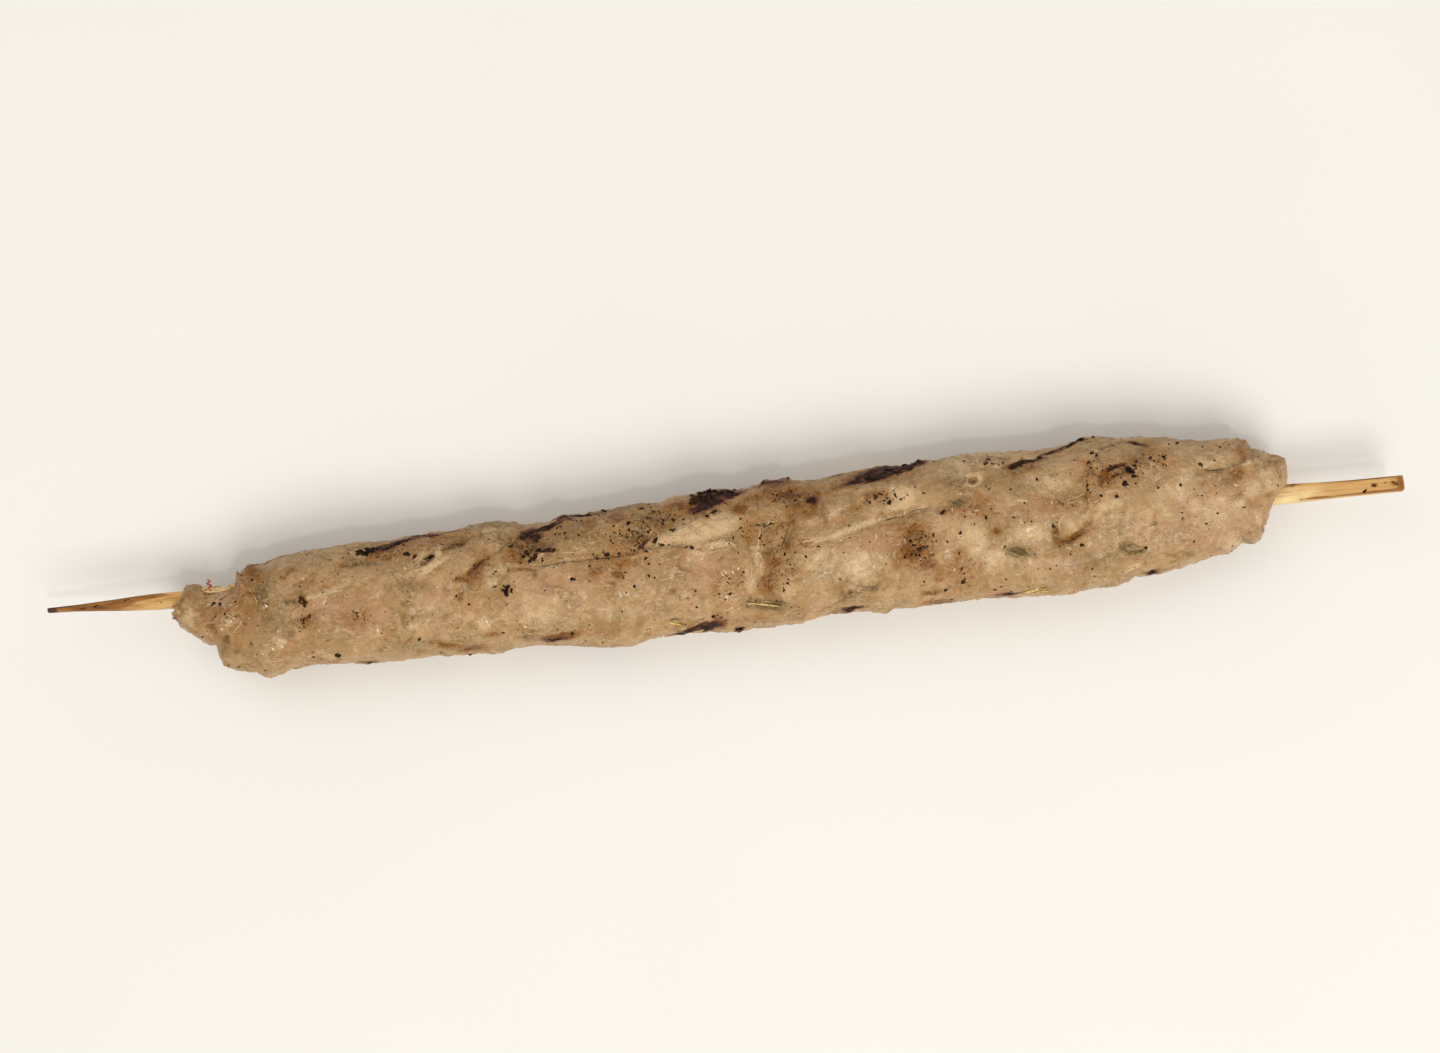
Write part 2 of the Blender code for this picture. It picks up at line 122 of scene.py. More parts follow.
# Raised ridges, written the same way.
RIDGES = [
    ([(-12.6, 2.4), (-8, 3.4), (-4, 5)], 0.45, 0.8),
    ([(-3.2, -0.1), (-2.4, 0.9), (-0.6, 1.1), (1.8, 0.3)], 0.5, 0.4),
    ([(18.6, 0.2), (22, 1.1), (27, 2.3)], 0.35, 0.5),
    ([(-75.2, -2.1), (-73, -1.3), (-69, -0.8)], 0.35, 0.35),
    ([(61.8, -3.2), (61.6, -1.2), (63.4, 0.2), (65.4, -1), (64.4, -2.8)], 0.2, 0.6),
    ([(-94.2, 2), (-91.5, 1.7), (-89.4, 1.9)], 0.3, 0.4),
    ([(-57.4, 1), (-55, 1.5), (-53.2, 2.6), (-52.6, 4.2)], 0.4, 0.35),
    ([(-56.6, 2.4), (-55.4, 3.8), (-54, 4.5)], 0.3, 0.3),
    ([(6.6, 3), (6, -0.6), (5.4, -3.6), (4.6, -6.4)], 0.4, 0.6), ([(-50.6, 6), (-48, 6.2)], 0.3, 0.35),
    ([(-33, 7), (-30.6, 7.6), (-28.6, 8.2)], 0.4, 0.4), ([(19, 6.6), (19.2, 3), (18, 0.8)], 0.25, 0.6),
    ([(94, 5.4), (97, 6.3), (98.8, 7)], 0.16, 0.5),
    ([(95.6, -5), (97.4, -4.2), (98.6, -2.4)], 0.25, 0.5),
    ([(52, -3.2), (55, -2.6), (58.6, -3.6)], 0.2, 0.8), ([(71, -2.6), (74, -2), (77, -2.6)], 0.2, 0.6),
]
# Small bubbles that burst: where, the radius along and across, and the turn in degrees.
CRATERS = [
    (-54.7, 3.1, 1.6, 0.6, 40), (46.4, 7.8, 0.75, 0.7, 0), (94.5, 0.5, 0.8, 0.6, 20),
    (100.8, 0.3, 0.6, 0.5, 0), (79.2, -3, 0.6, 0.4, 10), (-87.9, -0.1, 0.7, 0.3, 10),
    (-85.2, -3, 0.45, 1.2, -12), (-92.9, -7.6, 0.6, 0.5, 0), (-91.2, -10.4, 0.6, 0.6, 0),
    (-81.3, -8.2, 1, 0.7, -35), (74.4, -7, 1.7, 0.7, -8), (53.6, -5.9, 1.8, 0.8, -15),
    (17.3, 7, 0.9, 0.6, 0), (95, 4.6, 0.8, 0.6, 0), (43.4, 4.2, 1.1, 0.7, 0), (-29, 4.6, 0.5, 0.6, 0),
    (27, 7.2, 0.7, 0.4, 20), (8.2, 0.6, 0.4, 0.4, 0),
]

# The outline of the meat as seen, far side and near side, from the pointed end to the sawn one.
FAR_OUTLINE = [
    (-102.3, -2), (-101.5, -0.5), (-100.5, 0.5), (-99.6, 2.2), (-99, 2.4), (-96.5, 2.4), (-96.2, 1.5),
    (-94, 1.2), (-89.8, 1.4), (-89.6, 4.2), (-87.7, 5.3), (-85, 5.3), (-82, 6.1), (-80, 6.4), (-75, 6.9),
    (-70, 7.2), (-67, 7.6), (-62, 7.2), (-58, 7.6), (-54, 7.7), (-50, 7.9), (-45, 8.8), (-42, 8.9),
    (-38, 8.4), (-36, 7.6), (-32, 7.8), (-29, 8.8), (-25, 8.4), (-20, 9), (-15, 9.6), (-11, 9.3),
    (-8, 10.2), (-4.8, 10.3), (-3, 10.6), (0, 10.7), (3, 10.4), (7, 11), (8.2, 11.7), (10, 11.7),
    (12.6, 11.7), (14, 11.2), (17, 10.9), (20, 11.4), (26, 12), (30, 12.2), (35, 11.9), (37, 12.3),
    (40, 12.4), (45, 12.9), (49, 13), (55, 12.5), (63, 12.6), (67, 13.7), (69, 13.9), (74, 13.2),
    (77.5, 13), (82, 12.6), (86, 11.7), (90, 11.3), (94, 11.2), (97, 10.5), (98, 9.3), (100, 8.5),
    (102.6, 7.2),
]
NEAR_OUTLINE = [
    (-102, -3.5), (-101, -5.2), (-99.5, -6.3), (-97.5, -8), (-96, -8.8), (-94.8, -9.3), (-94.4, -11.9),
    (-93.8, -13), (-91, -13.9), (-88, -14.6), (-87, -15.3), (-85.5, -15.9), (-83, -15.4), (-81, -14.7),
    (-77, -14.2), (-70, -14.6), (-61, -15), (-55, -14.7), (-50, -15), (-43.5, -15.4), (-40, -14.6),
    (-36, -14.6), (-30, -15.3), (-24, -16.2), (-19, -16.4), (-13, -15), (-8, -14.9), (-2, -15.3),
    (5, -15.4), (13, -15), (18, -13.8), (24, -14), (28.5, -14.9), (30, -14.2), (40, -14.2), (46, -13.6),
    (51, -14.1), (58, -14.3), (62, -14.6), (67, -13.7), (69, -14), (73, -13.3), (74.5, -12.6),
    (80, -12.2), (84, -11.4), (87, -10.6), (90, -10.1), (92.5, -9.7), (94.8, -8.2), (97, -8.4), (98, -8),
    (98.7, -7), (99.3, -5.5),
]
# The two ends, written as y and x.
SAWN_END_OUTLINE = [
    (-6.6, 98.8), (-5.4, 99.4), (-3.6, 100.2), (-2.2, 100.8), (-1.6, 101), (-0.6, 101.5), (0.3, 102.3),
    (1, 103.2), (1.8, 103.7), (3, 103.9), (5, 104.1), (6.6, 103.9), (7.4, 102.9),
]
POINTED_END_OUTLINE = [
    (-4.4, -101.4), (-3.4, -102.2), (-2.2, -102.4), (-1, -101.9), (0.4, -100.7), (1.6, -100),
]
OUTLINE_STEP, OUTLINE_ROUNDS = 0.5, 3
# The skin under and over the notch near the pointed end is rounded off: two corners each, and how often.
ROUNDED_OFF = [((-98.5, -3, -7.5), (-86.5, 9, -0.6), 40), ((-97.6, -2.6, 0.6), (-87.6, 1.15, 12), 12)]
EDGE_TEETH = [(2.2, 0.2), (0.9, 0.15)]
# How far aside the skin faces where the outline starts to move it, and where it moves it in full.
EDGE_TILT = (0.15, 0.9)
# How far up it faces where creases and ridges begin and are in full; where the picture begins to show it and
# shows it in full; where its char begins to be seen; and where the flank ends.
TOP_TILT, SHOWN_TILT, CHAR_TILT, FLANK_TILT = (0.0, 0.35), (-0.35, 0.0), (-0.12, 0.1), (0.1, 0.4)

# Patches of colour: where, the half length and the half width, the turn in degrees and the strength.
CHAR = [
    (-60, 6.4, 3.4, 0.38, 14, 0.7), (-57, 7.1, 2.4, 0.38, 6, 0.6), (-64, 5.9, 1.6, 0.3, 10, 0.6),
    (-54, 7.3, 1.4, 0.3, 0, 0.7), (-35.2, 6.2, 1.7, 0.7, 8, 0.9), (-34.4, 5.2, 1.2, 0.4, 10, 0.6),
    (-31.8, 7.2, 2.2, 0.45, 18, 0.9), (-32.6, 2.6, 1.4, 0.3, -4, 0.7), (-28.6, 8.4, 1.4, 0.45, 4, 0.9),
    (-24.8, 8.4, 3.2, 0.16, -2, 0.8), (-21.8, 8.8, 0.7, 0.25, 4, 1), (-35.4, 1.4, 1.3, 0.3, 40, 0.5),
    (-2.6, 7.9, 2.8, 0.7, 14, 0.9), (1, 9.5, 3, 0.6, 10, 1.2), (-3.4, 9.3, 1.6, 0.7, 10, 1.2),
    (-15, 2, 1.6, 0.3, 40, 0.6), (9.4, 10.9, 2.6, 0.4, 4, 0.6), (16.6, 7.2, 1, 0.6, 10, 0.7),
    (13, 8.4, 2, 0.5, 0, 0.4), (21.6, 11.4, 1.2, 0.3, 0, 0.8), (26, 9.6, 2.6, 0.5, 12, 0.9),
    (29, 10.8, 3.4, 0.9, 16, 1.2), (33.4, 11.6, 2.8, 0.5, 12, 1.2), (36.6, 12.1, 1.3, 0.4, 0, 1.2),
    (54.4, 10.1, 1.6, 0.36, 14, 0.6), (57, 10.7, 2.6, 0.3, 8, 0.85), (61.4, 12.1, 2.2, 0.25, 10, 0.6),
    (65.6, 13.2, 2.6, 0.24, 18, 0.9), (-67.8, -14.5, 2.4, 0.25, 0, 0.9),
    (-32.4, -13.7, 2.2, 0.35, 3, 0.5), (-8.4, -14.2, 2.2, 0.4, 10, 1.1), (-4.4, -13.6, 1.9, 0.6, 8, 1.2),
    (1, -15, 1, 0.3, 0, 1.1), (22, -13.7, 1.9, 0.3, 3, 0.9), (50.6, -13.2, 2.4, 0.3, -2, 0.42),
    (48.6, -13.6, 1.2, 0.24, 0, 0.5), (72.4, 7.9, 1.6, 0.25, 14, 1), (75.3, 7.1, 0.9, 0.45, -40, 0.8),
    (77, 11.8, 1.8, 0.2, -14, 0.5), (77.6, -11.8, 1.4, 0.26, 8, 0.55), (-45.6, 1, 2, 0.35, 40, 0.45),
    (-102.2, -3.3, 0.3, 0.3, 0, 0.5), (95.7, 11.5, 0.6, 0.3, 0, 0.5), (-88.2, 4.8, 1.3, 0.25, 30, 0.6),
    (-82, 6.2, 3, 0.14, 8, 0.6),
]
BROWN = [
    (-75, 0.4, 3.4, 2, 0, 0.3), (4.6, -13.4, 5, 1.2, 0, 0.35), (-25, -12.6, 6, 1.6, 0, 0.3),
    (21, 3.2, 1.6, 1.2, 0, 0.3), (-45.4, 1.2, 3.4, 1.4, 42, 0.6), (-46.6, -1.4, 2, 1.4, 0, 0.5),
    (11, 8.6, 4, 1.6, 0, 0.6), (15, 5.8, 3, 1.8, 0, 0.55), (-3, 6.2, 2.6, 1, 12, 0.5),
    (-78.6, -1.6, 2, 1.4, 0, 0.4), (33, 0.4, 3, 2, 0, 0.4), (-96, -1.6, 3, 1, 0, 0.2),
    (34.6, -1.2, 2.6, 2, 30, 0.9), (34.4, -4.2, 3, 2.2, 0, 0.95), (36.8, -6.6, 1.4, 1.5, 0, 0.9),
    (38.6, -9, 1.2, 1.2, -30, 0.5), (12.6, 4, 1.2, 2.4, 0, 0.6), (11.4, -0.4, 1.3, 1.8, -30, 0.7),
    (8.4, -3.6, 1.5, 1.6, -20, 0.75), (7.2, -7.2, 1.5, 2.2, 0, 0.85), (9.4, 2.6, 1.6, 0.8, 20, 0.6),
    (70.8, 6.2, 1.8, 1.5, 30, 1), (68.4, 7.4, 1.6, 2.4, 0, 0.6), (67, 3, 0.9, 2, 0, 0.6),
    (-7.4, 8.2, 2.6, 0.8, -8, 1.1), (-19.4, 7.3, 1.7, 0.9, 0, 1), (-25, 7.2, 2.4, 1, 0, 0.7),
    (-20, -3.2, 1, 0.9, 0, 0.9), (-18.6, -1, 3, 0.9, 0, 0.7), (-17, 0.6, 3, 0.4, 4, 0.9),
    (-24, -2, 2, 1.2, 0, 0.5), (-21, -4.6, 0.8, 0.6, 0, 0.5), (3.2, 7, 1.5, 0.8, 0, 1),
    (6, 8.6, 2.6, 0.8, 10, 0.7), (14.4, -0.6, 1.6, 0.8, -20, 0.7), (-63, 5.2, 2.6, 0.8, 12, 1),
    (-62, 4.4, 3, 0.7, 0, 0.7), (-53, -12.8, 2.6, 0.4, -4, 0.9), (-48, -13.6, 2.6, 0.6, 0, 0.9),
    (-44, -11.6, 1.6, 0.5, 0, 0.6), (-2, -12.8, 1.2, 0.9, -40, 1.2), (95, 4.6, 1.6, 1.2, 0, 0.6),
    (96.6, 8.8, 2, 1.4, -30, 0.45), (101.6, 6.4, 2, 1.6, -40, 0.45), (102.6, 4.2, 1, 1.2, 0, 0.5),
    (64.4, -4, 3, 0.8, 18, 0.8), (60.6, -3.6, 0.4, 1.3, 10, 0.9), (66.6, -2, 1.4, 0.5, 45, 0.6),
    (-87, 3.6, 1.6, 1.6, 20, 0.8), (-88.4, 4.6, 1.2, 0.4, 25, 1.2), (-46, 0.6, 3, 0.8, 40, 1.2),
    (-48.6, -1.2, 1.4, 0.6, 0, 1), (-49.4, -4, 0.7, 1.2, 0, 0.7), (-32, -13.3, 3.4, 0.6, 2, 1.1),
    (-36, -11.6, 3.4, 1, 0, 0.4), (-38.4, 2.4, 2, 1.6, 0, 0.7), (-37.6, -0.4, 1.8, 0.3, 0, 0.8),
    (-35.3, -1.3, 0.4, 0.9, 0, 0.8), (50, -1.8, 0.8, 0.7, 0, 0.9), (25, 10.4, 2.4, 1, 10, 0.9),
    (22.6, 8.8, 2.4, 0.6, 0, 0.8), (28.6, 6.8, 2, 0.8, 0, 0.7), (26.8, 6.2, 0.8, 1, 0, 0.6),
    (73.2, 6.4, 2, 0.8, 20, 0.8), (76.4, 8.2, 1.8, 1.2, -40, 0.5), (10, 10.7, 3, 0.9, 0, 1.2),
    (9.4, 9.2, 2.2, 0.7, 0, 0.8), (-100.6, -1.4, 1.8, 2.4, -50, 0.4), (-98.8, 1, 1.2, 1, 0, 0.25),
    (-96.8, -3.4, 0.5, 2.6, 12, 0.45), (-95.4, -6.2, 1, 0.6, -50, 0.5), (-79.9, 3.3, 1, 0.4, 10, 0.8),
    (-81.4, 2.2, 0.7, 0.6, 0, 0.6), (-78, -5.8, 1.5, 0.4, 35, 0.7), (-68, -7, 2.2, 1.6, 0, 0.4),
    (37, -11.8, 2, 0.35, 4, 1), (38, -13.6, 3, 0.5, 0, 0.7), (-14.6, -14.2, 2, 0.5, 20, 0.4),
    (16.6, 8.4, 2.6, 1.2, 0, 0.6), (19, 3.4, 0.9, 1.6, 0, 0.5), (-10.4, -7.2, 0.6, 0.4, 0, 0.7),
    (24.4, 5, 1.6, 0.6, 0, 0.4), (-50, 5.2, 2, 0.5, 14, 0.8), (56, 9, 3, 0.8, 8, 0.5),
]
# The patches on the lobe at the pointed end and on the sawn end's face are painted light that lifts the shade
# there. Those on the ledge near x -9 to -4 and on the ridge near x 5 are partly cream meat, partly painted
# highlight.
PALE = [
    (92.6, -7.8, 2.2, 1.4, 0, 0.6), (80, -2, 7, 4, 0, 0.28), (61, 6.4, 5, 2, 0, 0.45),
    (86, 5.4, 5, 2.4, 0, 0.4), (-99.4, -2.4, 2.4, 2.2, -50, 0.6), (44, 10.6, 3.4, 1.6, 0, 0.5),
    (-42, 7.2, 4, 0.8, 0, 0.4), (85, 5.4, 4, 2, 0, 0.4), (-62, 8, 1, 0.3, 0, 0.3),
    (101.2, 4.2, 2.2, 3, 0, 0.55), (51, 12.3, 4.6, 0.8, 0, 0.45), (48, -7, 4, 2.4, 0, 0.5),
    (-93.4, -0.8, 2.8, 2, 0, 0.6), (56, 11.4, 5, 1, 0, 0.4), (88, 7.6, 8, 2.6, -8, 0.32),
    (-90.2, 0.4, 1.8, 1.2, 0, 0.4), (-15, 4.6, 3, 1, 0, 0.3), (-8.6, 3.4, 3.4, 0.9, 16, 1),
    (-6, 2.4, 2, 0.8, 0, 0.9), (-4.6, 4.4, 1, 1.4, -20, 0.7), (-1.2, 0.8, 1.9, 0.4, 0, 1.1),
    (-4.4, -0.6, 1.4, 0.25, -4, 1), (24.5, 1.6, 2.8, 0.6, 12, 0.9), (21, 0.4, 1.4, 0.6, 20, 0.7),
    (56.6, -2.6, 3, 1.6, 0, 0.65), (33, 6.6, 2.4, 1.6, 0, 1), (32.4, 4.4, 3, 0.6, 8, 0.7),
    (17, -5, 4, 3, 0, 0.5), (90, -1.6, 5, 3, -20, 0.6), (63, -1.4, 1.6, 1.6, 20, 0.35),
    (72, -1.4, 4, 1.6, 0, 0.45), (45.6, -3, 2, 3.4, 0, 0.8), (46.4, 7, 1.5, 0.4, 0, 0.9),
    (46.4, 8.9, 1.4, 0.35, 0, 0.7), (47.8, 8, 0.4, 0.9, 0, 0.7), (-35, -9.4, 3, 2.4, 0, 0.6),
    (-35.4, -11.4, 1.6, 0.3, 0, 0.9), (-1, 4.2, 3.4, 2.2, 20, 0.8), (-53.4, 1.9, 2.6, 0.4, 28, 1.1),
    (-55.6, 4.1, 1.4, 0.3, 40, 1), (-52.6, 4.2, 0.5, 0.9, 0, 0.9), (0, -8, 1.8, 3.6, 0, 0.5),
    (24, -6, 3.4, 3, 0, 0.6), (-24, -9.5, 6, 2.4, 0, 0.2), (-62, -5, 7, 3, 0, 0.15),
    (84, 2.4, 4, 2, 0, 0.5), (-92.2, -5.2, 1.6, 0.9, 30, 0.55), (-83.4, -9.4, 1.8, 1.4, 0, 0.35),
    (73.8, -10.9, 1.4, 0.3, 20, 0.9), (-74, -1.2, 3.6, 0.4, 14, 0.7), (49.4, 11, 3, 0.9, 0, 0.7),
    (97.6, 1.6, 1.6, 1.6, 0, 0.7), (97, 6.4, 1.2, 0.5, 20, 0.8), (94.6, -0.6, 0.8, 1, 0, 0.8),
    (5.8, -2.4, 0.6, 2.2, 8, 0.9), (4, -6.4, 1, 2, 0, 0.6), (-45.4, -9.4, 1.4, 0.8, 0, 0.8),
    (-34, 1.8, 0.8, 0.5, 40, 0.9), (20.4, 4.6, 1.4, 1.4, 0, 0.5), (15.6, -0.2, 2.4, 0.5, 0, 0.8),
    (10.6, -8.6, 1.2, 1.6, 0, 0.6), (-58.6, -9, 1, 0.6, 0, 0.7), (-65, -9.2, 0.5, 0.9, 0, 0.6),
    (-43.8, -2.4, 1.2, 1.2, 0, 0.5), (70.4, 0.8, 3, 1.2, 20, 0.5), (91, 7.4, 1.8, 0.4, 30, 0.7),
    (80, 6.4, 3.4, 1.4, 0, 0.5), (98.2, -4, 0.8, 1.6, 20, 0.6), (101, 5, 0.6, 1.2, 0, 0.5),
]
OLIVE = [
    (13.4, 7.6, 4, 1.6, 0, 0.6), (-79, -1, 2.4, 2, 0, 0.45), (-36, -11.2, 4, 1.2, 0, 0.35),
    (18, 5.4, 2, 1.4, 0, 0.5), (-15.4, 3.4, 3, 1.8, 0, 0.72), (-12.6, 6.4, 3.4, 1.2, 0, 0.7),
    (-49.4, 5.3, 2.2, 0.5, 12, 0.9), (43.4, 4.2, 1.8, 0.9, 0, 0.85), (41, 3, 1.2, 0.5, 0, 0.8),
    (53.4, -5.7, 1.9, 0.8, -15, 1), (56, -6.6, 0.8, 0.6, -40, 0.7), (73.6, -6.6, 1.4, 0.7, 0, 0.7),
    (74.8, -8, 1.5, 0.25, 0, 1.2), (-34.6, 3.6, 3, 1.6, 0, 0.7), (-39, 4, 2, 1, 0, 0.6),
    (44, 8, 3, 2, 0, 0.4), (52, 7, 5, 1.4, 0, 0.35), (-85.8, -0.6, 1.4, 3, -20, 0.7),
    (-83.6, -6, 3, 2.4, 0, 0.5), (-80.6, -2.2, 1.6, 0.6, 0, 0.8), (-17.4, 3.2, 0.6, 0.5, 0, 1.2),
    (77.6, 8.8, 2, 1.6, 0, 0.6), (-93, -10, 3, 1.8, 0, 0.4), (-66.6, 3.9, 3, 0.6, -8, 0.7),
    (-57, -12.6, 6, 1.4, 0, 0.4), (92.6, -7.6, 1.8, 1.2, 0, 0.3), (95.8, -7.9, 0.8, 0.4, 0, 0.8),
    (69, -8.6, 5, 1.4, 0, 0.4), (-43, 7.9, 5, 0.8, 0, 0.6), (49.4, 11.6, 1.2, 0.5, 0, 0.9),
    (52, 11.4, 1, 0.4, 0, 0.8), (-58.4, -1.6, 4, 1, 0, 0.5), (7, -11.2, 3.4, 0.9, -10, 0.9),
    (-17, 9, 5, 0.6, 6, 0.7), (12.8, 7.8, 2.6, 1.2, 0, 0.7), (8, -1.6, 1.4, 0.8, 40, 0.8),
    (17, -6.6, 2.4, 1.2, 0, 0.5), (22.6, -11, 1.6, 0.7, 0, 0.5), (26.4, -10.2, 1, 0.5, 0, 0.9),
    (-50.6, 8.2, 1, 0.3, 0, 0.6), (-37.4, -12.9, 1.3, 0.7, 20, 0.7), (93, 3, 1.4, 1, 0, 0.5),
    (91.4, 5.7, 1.8, 0.35, 0, 0.8), (61.2, 7.6, 1.6, 0.6, 0, 0.5),
]
PINK = [
    (82, -3.8, 1.9, 0.9, 0, 1), (-72, -4, 5, 2.4, 0, 0.7), (92, -1.6, 7, 5, 0, 0.6),
    (-93.4, -2.2, 2.6, 2.2, 0, 0.8), (-88.4, -6.2, 1.8, 1.2, 0, 0.6), (47.6, -6.6, 2.4, 1.2, 0, 0.7),
    (60, 1.4, 5, 2, 0, 0.4), (-66, -6.6, 3, 2.2, 0, 0.7), (49.6, -12.4, 2.4, 0.6, 0, 0.9),
    (28, -1.4, 5, 2, 0, 0.6), (-28, -2.6, 6, 1.8, 0, 0.5), (10, 8.4, 3, 1, 0, 0.7),
    (82, 7, 4, 2, 0, 0.5), (88, -6.6, 3, 1.2, 10, 0.7), (-12.6, -2.4, 1.6, 1.4, 0, 0.6),
    (-4, -3.4, 3, 2.4, 0, 0.6), (45, 2.2, 3, 0.8, 0, 0.5), (-54, -4, 3.4, 1.6, 0, 0.4),
    (-33, 7.4, 1.8, 0.5, 10, 0.7), (66, 9.6, 3, 2, 0, 0.4),
]
# Beads of fat and juice, written the same way but without a strength. Their pale colour paints the skin's
# glints where they lie.
FAT_AND_GLINT_BEADS = [
    (-93.5, -6.1, 0.4, 0.2, 30), (-92.6, -5.5, 0.3, 0.15, -20), (-91.7, -4.8, 0.35, 0.15, 50),
    (-91.1, -4.3, 0.25, 0.12, 0), (-86.5, -11.3, 0.5, 0.15, 25), (-84.5, -10.6, 0.2, 0.4, -20),
    (-82.7, -10.3, 0.3, 0.2, 0), (-83.2, -9, 0.2, 0.3, 0), (-84.8, -2.8, 0.2, 0.4, 0),
    (-77.8, 1.8, 0.5, 0.14, 5), (-80, -12.8, 0.2, 0.15, 0), (-85.3, -4.4, 0.25, 0.12, 0),
    (-65, -9, 0.25, 0.4, 0), (-45, -9.3, 0.35, 0.3, 40), (-44.6, -10, 0.3, 0.2, -30),
    (-46.4, -9.2, 0.3, 0.2, 0), (-58.7, -8.8, 0.35, 0.2, 0), (-42.6, -2.5, 0.25, 0.2, 0),
    (-45, -8, 0.15, 0.15, 0), (-53.3, -2.2, 0.4, 0.12, -30), (-56.5, 2, 0.6, 0.12, 40),
    (-54, 1.9, 0.7, 0.12, 20), (-53, 4.4, 0.2, 0.5, 0), (-38, -11, 0.5, 0.12, -40),
    (-36, -11.5, 0.6, 0.1, 0), (-34.8, -12.6, 0.4, 0.1, 30), (-33.4, -8.2, 0.15, 0.3, 0),
    (-30.4, -10, 0.4, 0.12, 30), (-36.4, -8.4, 0.12, 0.3, 0), (-34, -7.6, 0.12, 0.25, 0),
    (-24, -13.6, 0.15, 0.15, 0), (-6, -1, 0.15, 0.1, 0), (-8.4, 3, 0.9, 0.12, 15),
    (-6.6, 4.6, 0.5, 0.12, 40), (-2.6, 0.4, 0.2, 0.5, -30), (-1, 1.1, 0.8, 0.12, 4),
    (1.6, 0.3, 0.6, 0.1, -10), (-4.4, -0.7, 0.9, 0.1, -4), (-1, -4.8, 0.4, 0.15, -40),
    (-0.4, -4.4, 0.15, 0.4, 0), (-0.6, -9, 0.2, 0.3, 0), (0.2, -11.2, 0.15, 0.3, 20),
    (2, -4, 0.2, 0.4, -40), (1, -4.6, 0.2, 0.4, -40), (5.8, -1.6, 0.12, 0.5, 10),
    (6.2, -0.6, 0.3, 0.12, 40), (4.4, -6.2, 0.2, 0.12, 0), (10.8, -9.4, 0.15, 0.15, 0),
    (3.4, -10.6, 0.2, 0.3, 0), (8.4, 3.9, 0.4, 0.1, 20), (14.8, -0.2, 0.6, 0.15, 0),
    (17, -0.4, 0.8, 0.1, 10), (23, 1, 0.5, 0.12, 30), (24.4, 1.6, 0.6, 0.14, 20),
    (26, 2.4, 0.5, 0.1, 20), (27.8, -0.6, 0.6, 0.14, 25), (21.2, -0.6, 0.4, 0.12, 40),
    (24.4, -7.4, 0.12, 0.5, -10), (26.8, -6, 0.15, 0.4, 30), (23.6, -10.2, 0.1, 0.3, 20),
    (19.6, 3.6, 0.15, 0.3, 0), (33.4, 3.2, 0.5, 0.1, 20), (33, -1.8, 0.5, 0.08, 40),
    (35.6, -5.6, 0.4, 0.08, -50), (37.4, -4.4, 0.3, 0.08, 60), (32.8, 4.8, 0.4, 0.1, 0),
    (40, -5.6, 0.12, 0.4, 0), (41.6, -8, 0.12, 0.5, -20), (43, -3, 0.12, 0.4, 0),
    (46.2, -1.4, 0.4, 0.1, 50), (49.2, -3.4, 0.1, 0.4, 0), (47.6, -6, 0.12, 0.3, 0),
    (45.6, 9, 0.4, 0.12, 45), (45.8, 7, 0.5, 0.1, -30), (46.6, 2.4, 0.5, 0.12, 0),
    (43.8, 5.8, 0.5, 0.1, 5), (42.2, 3, 0.5, 0.08, 30), (54.6, -0.6, 0.12, 0.5, 0),
    (55.6, -4.6, 0.3, 0.08, 50), (58.8, -1, 0.4, 0.1, 0), (61.2, 6.4, 0.3, 0.08, 45),
    (61.4, 6.2, 0.3, 0.08, -45), (60.6, 2.6, 0.15, 0.4, 10), (66, -0.4, 0.5, 0.1, 50),
    (68.6, 2, 0.5, 0.1, 40), (69.8, -2.6, 0.3, 0.12, 0), (68.8, -4.4, 0.5, 0.1, -40),
    (72, -5, 0.5, 0.08, -40), (73, -11.2, 0.7, 0.12, 8), (74.4, -10.6, 0.4, 0.1, 40),
    (68.6, -7.8, 0.1, 0.5, 20), (63.8, -11.2, 0.12, 0.2, 0), (56.2, -12.9, 0.7, 0.1, 14),
    (57.6, -13.4, 0.4, 0.1, 40), (78.6, -3.6, 0.15, 0.4, 0), (82.8, 3, 0.3, 0.1, 40),
    (84.6, 4.6, 0.4, 0.12, -30), (84.4, 1.9, 0.4, 0.1, 0), (85.6, 5.2, 0.15, 0.3, 0),
    (88.8, 0.6, 0.35, 0.15, 40), (86.4, -1, 0.6, 0.08, -30), (87.8, -2.6, 0.6, 0.08, -35),
    (85, -5.6, 0.5, 0.08, -10), (91.6, 0.3, 0.5, 0.12, 20), (94.6, 0, 0.3, 0.25, 0),
    (94.4, 2.6, 0.15, 0.5, 0), (96, 1, 0.4, 0.08, 0), (97.6, 1.3, 0.15, 0.2, 0),
    (98.2, 0.6, 0.12, 0.12, 0), (97.4, 6.4, 0.4, 0.15, 40), (98.6, 7, 0.25, 0.12, 0),
    (92.6, 7, 0.5, 0.1, 30), (102.6, 4.4, 0.15, 0.2, 0), (93, -1.6, 0.7, 0.08, 50),
    (91, -3, 0.6, 0.08, -25), (93.2, -6.6, 0.4, 0.1, 50), (91, -6.2, 0.3, 0.1, 60),
    (90.6, -4.8, 0.5, 0.08, -20), (97.8, -3.8, 0.15, 0.5, 0), (99.2, 4.8, 0.1, 0.2, 0),
    (92, 2.6, 0.4, 0.08, 0), (89, -7, 0.5, 0.08, 20),
]

